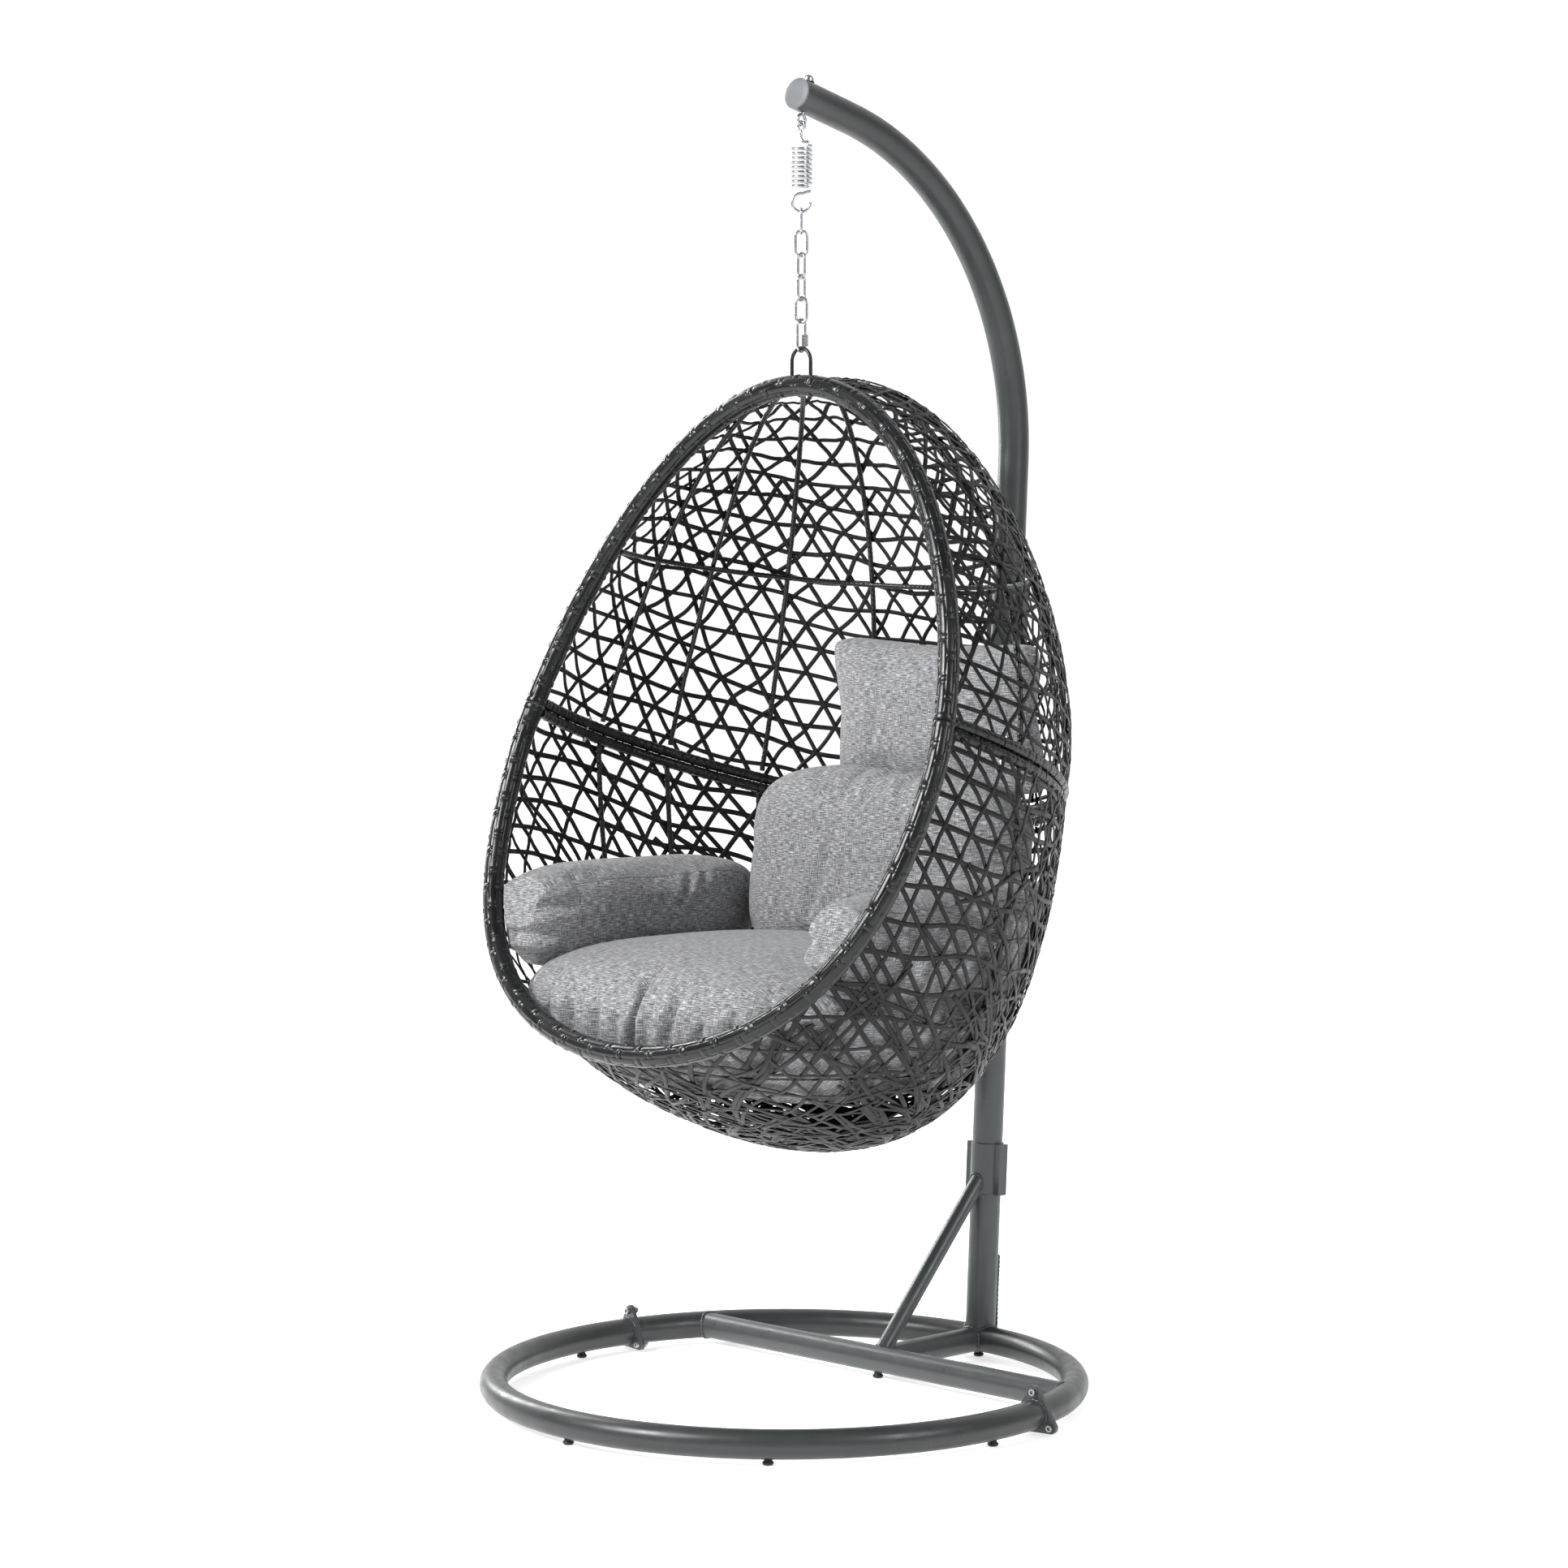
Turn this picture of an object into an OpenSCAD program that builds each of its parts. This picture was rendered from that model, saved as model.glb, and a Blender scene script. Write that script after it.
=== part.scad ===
// Hanging egg chair: tubular stand, spring and chain, two-part woven basket with cushions.
// Units are millimetres, +Z is up, the basket's mouth faces -Y and the post stands at +Y.

/* [Which part] */
// Node to draw, or all of them

/* [Base] */
// Radius of the base ring's centre line
ring_radius = 435.6; // [430:0.5:445]
// Outside diameter of the base ring's tube
ring_tube = 42.4; // [41:0.2:44]
// Wall of every steel tube
tube_wall = 1.6; // [1.2:0.1:2]
// Height of the feet under the ring
foot_height = 8; // [6:0.5:10]
// Distance of the crossbar behind the ring's centre
crossbar_y = 205; // [195:1:215]
// Outside diameter of the crossbar and the spine bar
crossbar_tube = 40; // [38:0.5:40.5]
// Outside diameter of the strut
strut_tube = 25; // [20:1:28]
// Angle of the two flange joints behind the X axis
flange_angle = 11; // [8:0.5:14]

/* [Post and arm] */
// Outside diameter of the post and the arm
post_tube = 47.6; // [46:0.2:50]
// Height at which the bend of the arm starts
bend_start = 1403; // [1400:1:1406]
// Radius of the arm's bend
bend_radius = 497.2; // [494:0.2:500]

/* [Basket] */
// Largest half width of the basket
egg_half_width = 451; // [440:1:455]
// Thickness of the woven skin
weave_thickness = 3; // [2:0.5:4]
// Diameter of the wrapped mouth rim
rim_tube = 33; // [30:1:34]
// Diameter of the wrapped bars along the seam
seam_tube = 14; // [12:1:15]
// Diameter of the wrapped ribs
rib_tube = 6; // [5:0.5:7]

/* [Chain and spring] */
// Wire of the chain and of the spring
chain_wire = 4; // [3:0.1:4]
// Number of turns of the spring
spring_turns = 9; // [7:1:9]

/* [Hidden] */

round_fn = 48;
ring_z = ring_tube / 2;
gap = 0.4;
hair = 0.05;

steel = [0.30, 0.32, 0.33];
steel_light = [0.42, 0.44, 0.46];
zinc = [0.80, 0.81, 0.82];
rattan = [0.12, 0.125, 0.13];
rubber = [0.05, 0.05, 0.05];
cloth = [0.50, 0.50, 0.51];

// ---------- general shapes ----------

function unit(v) = v / norm(v);
function mix(a, b, t) = a + (b - a) * t;
function clamp(v, lo, hi) = min(max(v, lo), hi);

// Direction of a path at one of its points.
function path_dir(path, i, closed) =
  let (n = len(path))
  let (a = closed ? (i + n - 1) % n : max(i - 1, 0))
  let (b = closed ? (i + 1) % n : min(i + 1, n - 1))
  unit(path[b] - path[a]);

// Round rod along a path; the reference point keeps the section from twisting.
module rod(path, diameter, sides, reference, closed = false) {
  n = len(path);
  points = [for (i = [0 : n - 1])
    let (d = path_dir(path, i, closed), side = unit(cross(d, path[i] - reference)), out = cross(side, d))
    for (k = [0 : sides - 1])
      path[i] + diameter / 2 * (cos(360 * k / sides) * out + sin(360 * k / sides) * side)];
  rows = closed ? n : n - 1;
  walls = [for (i = [0 : rows - 1], k = [0 : sides - 1])
    let (a = i * sides, b = ((i + 1) % n) * sides, k2 = (k + 1) % sides)
    each [[a + k, b + k2, a + k2], [a + k, b + k, b + k2]]];
  ends = closed ? [] : [[for (k = [0 : sides - 1]) k], [for (k = [0 : sides - 1]) n * sides - 1 - k]];
  polyhedron(points, concat(walls, ends));
}

// Round tube along a path, open at both ends.
module bent_tube(path, diameter, bore, sides, reference) {
  n = len(path);
  points = [for (d = [diameter, bore], i = [0 : n - 1])
    let (way = path_dir(path, i, false), side = unit(cross(way, path[i] - reference)), out = cross(side, way))
    for (k = [0 : sides - 1])
      path[i] + d / 2 * (cos(360 * k / sides) * out + sin(360 * k / sides) * side)];
  shift = n * sides;
  walls = [for (i = [0 : n - 2], k = [0 : sides - 1])
    let (a = i * sides, b = a + sides, k2 = (k + 1) % sides)
    each [[a + k, b + k2, a + k2], [a + k, b + k, b + k2],
      [shift + a + k, shift + a + k2, shift + b + k2], [shift + a + k, shift + b + k2, shift + b + k]]];
  last = shift - sides;
  ends = [for (k = [0 : sides - 1])
    let (k2 = (k + 1) % sides)
    each [[k, k2, shift + k2], [k, shift + k2, shift + k],
      [last + k, shift + last + k2, last + k2], [last + k, shift + last + k, shift + last + k2]]];
  polyhedron(points, concat(walls, ends));
}

// Straight tube or bar between two points.
module bar(a, b, diameter, bore = 0) {
  v = b - a;
  translate(a)
    rotate([0, acos(v[2] / norm(v)), atan2(v[1], v[0])])
      difference() {
        cylinder(h = norm(v), d = diameter, $fn = round_fn);
        if (bore > 0) translate([0, 0, -1]) cylinder(h = norm(v) + 2, d = bore, $fn = round_fn);
      }
}

// Ring of the base, used to cut the tubes that are welded to it.
module ring_cutter() {
  translate([0, 0, ring_z])
    rotate_extrude($fn = 96)
      translate([ring_radius, 0]) circle(d = ring_tube + 2 * hair, $fn = round_fn);
}

// ---------- base ----------

plate_thick = 3;
plate_bolt_circle = 33;
plate_corner = 9;
plate_angle = plate_thick / ring_radius * 180 / PI;
joint_gap_angle = 0.03;

module ring_arc(from, to) {
  translate([0, 0, ring_z])
    rotate([0, 0, from])
      rotate_extrude(angle = to - from, $fn = 96)
        translate([ring_radius, 0])
          difference() {
            circle(d = ring_tube, $fn = round_fn);
            circle(d = ring_tube - 2 * tube_wall, $fn = round_fn);
          }
}

module front_ring_arc() {
  color(steel)
    ring_arc(180 - flange_angle + plate_angle + joint_gap_angle,
      360 + flange_angle - plate_angle - joint_gap_angle);
}

module rear_ring_arc() {
  color(steel)
    ring_arc(flange_angle + plate_angle + joint_gap_angle, 180 - flange_angle - plate_angle - joint_gap_angle);
}

// Places a flange item: X runs outward, Z up, +Y toward the rear arc.
module at_flange(side) {
  rotate([0, 0, side > 0 ? flange_angle : 180 - flange_angle])
    translate([ring_radius, 0, ring_z])
      mirror([0, side > 0 ? 0 : 1, 0])
        children();
}

function bolt_spot(k) = plate_bolt_circle * [sin(120 * k), 0, cos(120 * k)];

module flange_plate(y0) {
  difference() {
    translate([0, y0 + plate_thick, 0])
      rotate([90, 0, 0])
        linear_extrude(plate_thick)
          polygon([for (k = [0 : 2], turn = [-60 : 12 : 60])
            plate_bolt_circle * [sin(120 * k), cos(120 * k)]
              + plate_corner * [sin(120 * k + turn), cos(120 * k + turn)]]);
    for (k = [0 : 2])
      translate(bolt_spot(k) + [0, y0 - 1, 0])
        rotate([-90, 0, 0]) cylinder(h = plate_thick + 2, r = 3.3, $fn = round_fn);
  }
}

module front_flange_plates() {
  color(steel) for (side = [-1, 1]) at_flange(side) flange_plate(-plate_thick - hair);
}

module rear_flange_plates() {
  color(steel) for (side = [-1, 1]) at_flange(side) flange_plate(hair);
}

bolt_head = 10;
bolt_head_height = 6;
flange_bolt_length = 16;

module flange_bolts() {
  color(zinc)
    for (side = [-1, 1], k = [0 : 2])
      at_flange(side)
        translate(bolt_spot(k) + [0, -plate_thick - 2 * hair, 0])
          rotate([-90, 0, 0])
            difference() {
              union() {
                translate([0, 0, -bolt_head_height]) cylinder(h = bolt_head_height, d = bolt_head, $fn = round_fn);
                translate([0, 0, -1]) cylinder(h = flange_bolt_length + 1, d = 6, $fn = round_fn);
              }
              translate([0, 0, -bolt_head_height - 1]) cylinder(h = 4, d = 5.8, $fn = 6);
            }
}

module flange_nuts() {
  color(zinc)
    for (side = [-1, 1], k = [0 : 2])
      at_flange(side)
        translate(bolt_spot(k) + [0, plate_thick + 2 * hair, 0])
          rotate([-90, 0, 0])
            difference() {
              union() {
                cylinder(h = 1.2, d = 13, $fn = round_fn);
                translate([0, 0, 1]) cylinder(h = 5.5, d = 11, $fn = 6);
              }
              translate([0, 0, -1]) cylinder(h = 9, d = 6.2, $fn = round_fn);
            }
}

module crossbar() {
  reach = sqrt(pow(ring_radius, 2) - pow(crossbar_y, 2));
  color(steel)
    difference() {
      bar([-reach, crossbar_y, ring_z], [reach, crossbar_y, ring_z], crossbar_tube,
        crossbar_tube - 2 * tube_wall);
      ring_cutter();
    }
}

module spine_bar() {
  color(steel)
    difference() {
      bar([0, crossbar_y, ring_z - 0.5], [0, ring_radius, ring_z - 0.5], crossbar_tube - 1,
        crossbar_tube - 1 - 2 * tube_wall);
      ring_cutter();
      bar([-60, crossbar_y, ring_z], [60, crossbar_y, ring_z], crossbar_tube + 2 * hair);
    }
}

// Line of the straight post: its middle at height z.
post_foot_y = 437.8;
post_lean = 0.0519;
function post_at(z) = [0, post_foot_y + post_lean * z, z];

strut_top_z = 293;

module strut() {
  color(steel)
    difference() {
      bar([0, crossbar_y, ring_z], post_at(strut_top_z), strut_tube, strut_tube - 2 * tube_wall);
      bar([-60, crossbar_y, ring_z], [60, crossbar_y, ring_z], crossbar_tube + 2 * hair);
      bar(post_at(200), post_at(400), socket_outer + 2 * hair);
      bar([0, crossbar_y, ring_z - 0.5], [0, ring_radius, ring_z - 0.5], crossbar_tube - 1 + 2 * hair);
    }
}

foot_angles = [-2, -48, -90, -132, -178, 90];
foot_spots = concat(
  [for (a = foot_angles) [ring_radius * cos(a), ring_radius * sin(a), 0]],
  [[0, crossbar_y, (ring_tube - crossbar_tube) / 2]]);

module foot_caps() {
  color(rubber)
    for (spot = foot_spots)
      translate([spot[0], spot[1], -foot_height])
        difference() {
          union() {
            cylinder(h = foot_height - 3, d = 16, $fn = round_fn);
            cylinder(h = foot_height + spot[2] - 0.1, d = 12, $fn = round_fn);
          }
          translate([0, 0, foot_height - 5]) cylinder(h = 8, d = 4.3, $fn = round_fn);
        }
}

module foot_screws() {
  color(zinc)
    for (spot = foot_spots)
      translate([spot[0], spot[1], -4.9])
        cylinder(h = 4.7 + spot[2], d = 4, $fn = round_fn);
}

// ---------- post and arm ----------

socket_outer = post_tube + 3.2;
lower_split = 290;
upper_split = 1148;

module lower_post() {
  color(steel)
    difference() {
      bar(post_at(12), post_at(lower_split), post_tube, post_tube - 2 * tube_wall);
      ring_cutter();
      bar([0, crossbar_y, ring_z - 0.5], [0, ring_radius, ring_z - 0.5], crossbar_tube - 1 + 2 * hair);
    }
}

module middle_post() {
  color(steel) bar(post_at(lower_split + gap), post_at(upper_split), post_tube, post_tube - 2 * tube_wall);
}

// Sleeve over a joint of the post, with a boxed ear on each side.
module socket(z0, z1) {
  axis = post_at(z1) - post_at(z0);
  translate(post_at(z0))
    rotate([-atan(post_lean), 0, 0])
      difference() {
        union() {
          cylinder(h = norm(axis), d = socket_outer, $fn = round_fn);
          translate([-35, -9, 0]) cube([70, 18, norm(axis)]);
        }
        translate([0, 0, -1]) cylinder(h = norm(axis) + 2, d = post_tube + 2 * hair, $fn = round_fn);
      }
}

module lower_socket() {
  color(steel) socket(250, 330);
}

module upper_socket() {
  color(steel) socket(1092, 1204);
}

// Arm centre line: straight up the post's line, one bend, then a straight tail to the tip.
lean_angle = atan(post_lean);
bend_turn = 78.5;
tail_length = 113.4;
bend_from = post_at(bend_start);
bend_centre = bend_from + bend_radius * [0, -cos(lean_angle), sin(lean_angle)];
tip_angle = bend_turn - lean_angle;
tip_back = [0, sin(tip_angle), -cos(tip_angle)];
tip_up = [0, cos(tip_angle), sin(tip_angle)];
bend_to = bend_centre + bend_radius * tip_up;
arm_tip = bend_to - tail_length * tip_back;

bend_steps = 17;
arm_path = concat(
  [post_at(upper_split + gap), post_at(bend_start - 40)],
  [for (i = [0 : bend_steps])
    let (a = bend_turn * i / bend_steps - lean_angle)
    bend_centre + bend_radius * [0, cos(a), sin(a)]],
  [bend_to - 40 * tip_back, arm_tip]);

bolt_back = 17;
bolt_foot = arm_tip + bolt_back * tip_back;

module upper_arm() {
  color(steel)
    difference() {
      bent_tube(arm_path, post_tube, post_tube - 2 * tube_wall, 24, bend_centre);
      bar(bolt_foot - 40 * tip_up, bolt_foot + 40 * tip_up, 8.4);
    }
}

module arm_end_cap() {
  color(steel_light) bar(arm_tip - hair * tip_back, arm_tip - 3 * tip_back, post_tube);
}

// ---------- hanging line ----------

eye_wire = 5;
eye_radius = 7.5;
eye_spot = bolt_foot - (post_tube / 2 + eye_radius + eye_wire / 2 + 1) * tip_up;
hang_y = eye_spot[1];
eye_z = eye_spot[2];
hang = [0, hang_y, 0];

// Point of a plane that stands on the hanging line, turned by an angle about it.
function on_plane(turn, u, z) = hang + [u * cos(turn), u * sin(turn), z];

module eye_bolt() {
  color(zinc)
    union() {
      translate(hang + [0, 0, eye_z])
        rotate([0, 90, 0])
          rotate_extrude($fn = 64) translate([eye_radius, 0]) circle(d = eye_wire, $fn = 24);
      bar(eye_spot + (eye_radius + 1) * tip_up, bolt_foot + (post_tube / 2 + 8) * tip_up, 7);
    }
}

module dome_nut() {
  color(zinc)
    translate(bolt_foot + (post_tube / 2 + 0.3) * tip_up)
      rotate([tip_angle - 90, 0, 0])
        difference() {
          union() {
            cylinder(h = 1.5, d = 18, $fn = round_fn);
            translate([0, 0, 1]) cylinder(h = 4, d = 15, $fn = round_fn);
            intersection() {
              translate([0, 0, 3]) sphere(d = 15, $fn = round_fn);
              translate([-10, -10, 3]) cube([20, 20, 12]);
            }
          }
          translate([0, 0, -5]) cylinder(h = 14.2, d = 7.6, $fn = round_fn);
        }
}

hook_top = eye_z - eye_radius + (eye_wire + chain_wire) / 2 + 0.5;
hook_radius = 7;
coil_radius = 14.5;
coil_top = 1862.6;
coil_bottom = 1801;
coil_steps = 18;

module spring_hook() {
  centre_z = hook_top - hook_radius;
  arc = [for (a = [-40 : 15 : 260]) on_plane(0, hook_radius * cos(a), centre_z + hook_radius * sin(a))];
  stem = [on_plane(0, 0, centre_z - hook_radius - 2), on_plane(0, 0.5, coil_top + 9),
    on_plane(0, 3, coil_top + 5.5), on_plane(0, 8, coil_top + 4.9), on_plane(0, coil_radius, coil_top + 4.8)];
  color(zinc) rod(concat(arc, stem), chain_wire, 10, hang + [0.1, -200, centre_z]);
}

module spring_coil() {
  count = spring_turns * coil_steps;
  path = [for (i = [0 : count])
    let (a = 360 * i / coil_steps)
    hang + [coil_radius * cos(a), coil_radius * sin(a), mix(coil_top, coil_bottom, i / count)]];
  color(zinc) rod(path, chain_wire - 0.2, 6, hang + [0, 0, 1830]);
}

end_hook_radius = 13.5;
end_hook_bottom = 1765.4;
end_hook_turn = 45;

module spring_end_hook() {
  centre_z = end_hook_bottom + end_hook_radius;
  lead = [on_plane(end_hook_turn, coil_radius, centre_z + end_hook_radius + 3.3),
    on_plane(end_hook_turn, 9, centre_z + end_hook_radius + 2.4),
    on_plane(end_hook_turn, 5, centre_z + end_hook_radius + 0.9)];
  arc = [for (a = [85 : 12 : 361])
    on_plane(end_hook_turn, end_hook_radius * cos(a), centre_z + end_hook_radius * sin(a))];
  color(zinc) rod(concat(lead, arc), chain_wire, 10, hang + [200, -200, centre_z]);
}

link_radius = 8.5;
link_height = 37.2;
link_drop = 32.7;
first_link_top = end_hook_bottom + 4.5;

// Oval link: wire middle at its top, height between the wire middles, half width, turn about Z.
module oval_link(top, height, radius, turn) {
  low = top - height + radius;
  high = top - radius;
  path = concat(
    [for (a = [0 : 18 : 180]) on_plane(turn, radius * cos(a), high + radius * sin(a))],
    [for (a = [180 : 18 : 360]) on_plane(turn, radius * cos(a), low + radius * sin(a))]);
  rod(path, chain_wire, 10, on_plane(turn + 90, 500, (high + low) / 2), true);
}

link_turns = [135, 45, -10, 100, 25];

module chain_link(number) {
  color(zinc)
    oval_link(first_link_top - (number - 1) * link_drop, link_height, link_radius, link_turns[number - 1]);
}

quick_top = first_link_top - 4 * link_drop - link_height + 4.5;
quick_height = 47.3;
quick_radius = 8;
quick_nut_z = quick_top - 31;

module quick_link() {
  color(zinc) oval_link(quick_top, quick_height, quick_radius, 90);
}

module quick_link_nut() {
  color(zinc)
    translate(on_plane(90, quick_radius, quick_nut_z))
      difference() {
        cylinder(h = 17, d = 10, center = true, $fn = 6);
        cylinder(h = 20, d = chain_wire + 0.3, center = true, $fn = round_fn);
      }
}

// ---------- basket surface ----------

egg_mid = 954.8;
egg_top = 568.4;
egg_bottom = 593.8;
egg_top_power = 1.607;
egg_bottom_power = 2.494;

// Height above the widest level, in metres, which the shape laws below use.
function rise(z) = (z - egg_mid) / 1000;
function half_width(z) =
  let (t = rise(z), s = t > 0 ? pow(clamp(t * 1000 / egg_top, 0, 1), egg_top_power)
    : pow(clamp(-t * 1000 / egg_bottom, 0, 1), egg_bottom_power))
  egg_half_width * sqrt(max(1 - s, 0.000001));
function depth_ratio(z) = let (t = rise(z)) 0.9641 - 0.299 * t - (t > 0 ? 0.1119 : 0.9502) * t * t;
function half_depth(z) = half_width(z) * depth_ratio(z);
function middle_y(z) = let (t = rise(z)) -27.3 + 247.7 * t + (t > 0 ? -27.6 : 697.7) * t * t;
function mouth_y(z) = let (t = rise(z)) -142.3 + 399.1 * t - 150.7 * t * t;

// Below zero inside the basket.
function egg_side(p) =
  p[2] > egg_mid + egg_top || p[2] < egg_mid - egg_bottom ? 1
  : pow(p[0] / half_width(p[2]), 2) + pow((p[1] - middle_y(p[2])) / half_depth(p[2]), 2) - 1;

// Distance from a point inside to the surface, by halving.
function reach(from, d, lo = 10, hi = 900, n = 22) =
  n == 0 ? (lo + hi) / 2
  : let (m = (lo + hi) / 2)
    egg_side(from + m * d) < 0 ? reach(from, d, m, hi, n - 1) : reach(from, d, lo, m, n - 1);

// Seam plane, which falls toward the back.
seam_front = [0, -118, 1027.5];
seam_slope = 0.35;
function seam_z(y) = seam_front[2] - seam_slope * (y - seam_front[1]);
heart = [0, -12, seam_z(-12)];
seam_back = unit([0, 1, -seam_slope]);
seam_up = unit([0, seam_slope, 1]);

// Height at which the mouth closes on the middle plane, above or below.
function mouth_gap(z) = mouth_y(z) - middle_y(z) + half_depth(z);
function mouth_end(lo, hi, n = 24) =
  n == 0 ? (lo + hi) / 2
  : let (m = (lo + hi) / 2) mouth_gap(m) > 0 ? mouth_end(m, hi, n - 1) : mouth_end(lo, m, n - 1);
crown_z = mouth_end(1100, egg_mid + egg_top - 0.5);
lip_z = mouth_end(900, egg_mid - egg_bottom + 0.5);
crown = [0, mouth_y(crown_z), crown_z];
lip = [0, mouth_y(lip_z), lip_z];
to_crown = unit(crown - heart);
to_lip = unit(lip - heart);

// Direction from the heart: across the seam plane by an angle from the back, raised toward a pole.
function ray(pole, turn, lift) =
  unit(cos(lift) * (sin(turn) * [1, 0, 0] + cos(turn) * seam_back) + sin(lift) * pole);
function skin(pole, turn, lift) = let (d = ray(pole, turn, lift)) heart + reach(heart, d) * d;

// Largest turn that still lies behind the mouth, kept back by an edge distance.
function mouth_turn(pole, lift, edge, lo = 20, hi = 178, n = 16) =
  n == 0 ? (lo + hi) / 2
  : let (m = (lo + hi) / 2, p = skin(pole, m, lift))
    p[1] > mouth_y(p[2]) + edge ? mouth_turn(pole, lift, edge, m, hi, n - 1)
    : mouth_turn(pole, lift, edge, lo, m, n - 1);

function outward(p) =
  let (e = 0.5, z = clamp(p[2], egg_mid - egg_bottom + 2, egg_mid + egg_top - 2), q = [p[0], p[1], z])
  let (base = egg_side(q))
  unit([egg_side(q + [e, 0, 0]) - base, egg_side(q + [0, e, 0]) - base, egg_side(q + [0, 0, e]) - base]);

// Half of the basket as a thin closed skin between two lifts.
module skin_half(pole, lift_from, lift_to, rows, columns, edge) {
  outer = [for (i = [0 : rows])
    let (lift = mix(lift_from, lift_to, i / rows), limit = mouth_turn(pole, lift, edge))
    for (k = [0 : columns]) skin(pole, mix(-limit, limit, k / columns), lift)];
  inner = [for (p = outer) p - weave_thickness * outward(p)];
  w = columns + 1;
  count = len(outer);
  cells = [for (i = [0 : rows - 1], k = [0 : columns - 1])
    let (a = i * w + k)
    each [[a, a + 1, a + w + 1], [a, a + w + 1, a + w],
      [count + a, count + a + w + 1, count + a + 1], [count + a, count + a + w, count + a + w + 1]]];
  bottom = [for (k = [0 : columns - 1]) each [[k, count + k, count + k + 1], [k, count + k + 1, k + 1]]];
  t0 = rows * w;
  top = [for (k = [0 : columns - 1])
    each [[t0 + k, t0 + k + 1, count + t0 + k + 1], [t0 + k, count + t0 + k + 1, count + t0 + k]]];
  sides = [for (i = [0 : rows - 1])
    let (a = i * w, b = i * w + columns)
    each [[a, a + w, count + a + w], [a, count + a + w, count + a],
      [b, count + b, count + b + w], [b, count + b + w, b + w]]];
  faces = concat(cells, bottom, top, sides);
  polyhedron([each outer, each inner], pole[2] > 0 ? faces : [for (f = faces) [f[2], f[1], f[0]]]);
}

bar_offset = seam_tube / 2 + 1.2;
skin_from = bar_offset + seam_tube / 2 + gap;

module upper_weave() {
  color(rattan) skin_half(to_crown, asin(skin_from / 440), 87, 16, 32, rim_tube / 2 + 5);
}

module lower_weave() {
  color(rattan) skin_half(to_lip, asin(skin_from / 440), 87, 20, 32, rim_tube / 2 + 5);
}

// ---------- basket frame ----------

// Point of the mouth's edge; side is -1 or 1, and a lift of 90 is the crown or the lip.
function rim_point(pole, side, lift) =
  lift > 89.9 ? heart + reach(heart, pole) * pole
  : let (p = skin(pole, mouth_turn(pole, lift, 0), lift)) [side * p[0], p[1], p[2]];

rim_steps = 20;
rim_gap = 0.6;

module rim(pole) {
  first = asin((rim_tube / 4 + 0.5) / 440) * 0.3;
  lifts = [for (i = [0 : rim_steps]) mix(first, 90, 1 - pow(1 - i / rim_steps, 1.3))];
  right = [for (lift = lifts) rim_point(pole, 1, lift)];
  path = concat(right, [for (i = [1 : rim_steps]) let (p = right[rim_steps - i]) [-p[0], p[1], p[2]]]);
  rod(path, rim_tube, 12, heart);
}

module rim_cut(up) {
  half = rim_tube;
  for (side = [-1, 1])
    translate(seam_front + [side * 434, 0, 0])
      rotate([-atan(seam_slope), 0, 0])
        translate([-2 * half, -2 * half, up > 0 ? -4 * half + rim_gap : -rim_gap])
          cube([4 * half, 4 * half, 4 * half]);
}

module upper_rim() {
  color(rattan)
    difference() {
      rim(to_crown);
      rim_cut(1);
    }
}

module lower_rim() {
  color(rattan)
    difference() {
      rim(to_lip);
      rim_cut(-1);
    }
}

seam_inset = seam_tube / 2 + 0.5;
seam_stop = rim_tube / 2 + 1;

function seam_point(turn, inset, up) =
  let (p = heart + reach(heart, ray(to_crown, turn, 0)) * ray(to_crown, turn, 0))
  p - inset * outward(p) + up * seam_up;

seam_limit = mouth_turn(to_crown, 0, seam_stop);

module seam_bar(up) {
  path = [for (i = [-18 : 18]) seam_point(seam_limit * i / 18, seam_inset, up * bar_offset)];
  rod(path, seam_tube, 10, heart);
}

bolt_turns = [-88, -30, 30, 88];
seam_nut = 7.4;
seam_bolt = 5;
bolt_inset = weave_thickness + seam_nut / 2 + 3.9;

module seam_holes() {
  for (turn = bolt_turns)
    bar(seam_point(turn, bolt_inset, -30), seam_point(turn, bolt_inset, 30), seam_bolt + 0.4);
}

module upper_seam_bar() {
  color(rattan)
    difference() {
      seam_bar(1);
      seam_holes();
    }
}

module lower_seam_bar() {
  color(rattan)
    difference() {
      seam_bar(-1);
      seam_holes();
    }
}

bar_face = bar_offset + seam_tube / 2;

module seam_bolts() {
  color(zinc)
    for (turn = bolt_turns) {
      bar(seam_point(turn, bolt_inset, -bar_face - 6), seam_point(turn, bolt_inset, bar_face + 1), seam_bolt);
      bar(seam_point(turn, bolt_inset, bar_face + 0.3), seam_point(turn, bolt_inset, bar_face + 3.8), seam_nut);
    }
}

module seam_nuts() {
  color(zinc)
    for (turn = bolt_turns)
      bar(seam_point(turn, bolt_inset, -bar_face - 4.3), seam_point(turn, bolt_inset, -bar_face - 0.3),
        seam_nut, seam_bolt + 0.3);
}

rib_clear = 3;
rib_inset = weave_thickness + rib_tube / 2 + rib_clear;
hoop_inset = rib_inset + rib_tube + 1.2;
rib_spacing = 13.5;

function inner_point(pole, turn, lift, inset) = let (p = skin(pole, turn, lift)) p - inset * outward(p);

// Share of the half turn at which a rib leaves the crown.
function rib_share(k) = sin(rib_spacing * k);

module rib(pole, share, lift_from, lift_to) {
  path = [for (i = [0 : 14])
    let (lift = mix(lift_from, lift_to, i / 14))
    inner_point(pole, share * mouth_turn(pole, lift, 0), lift, rib_inset)];
  rod(path, rib_tube, 6, heart);
}

module upper_ribs() {
  from = asin((bar_face + 8) / 430);
  color(rattan) for (k = [-4 : 4]) rib(to_crown, rib_share(k), from, k == 0 ? 84 : 84 - abs(k));
}

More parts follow.
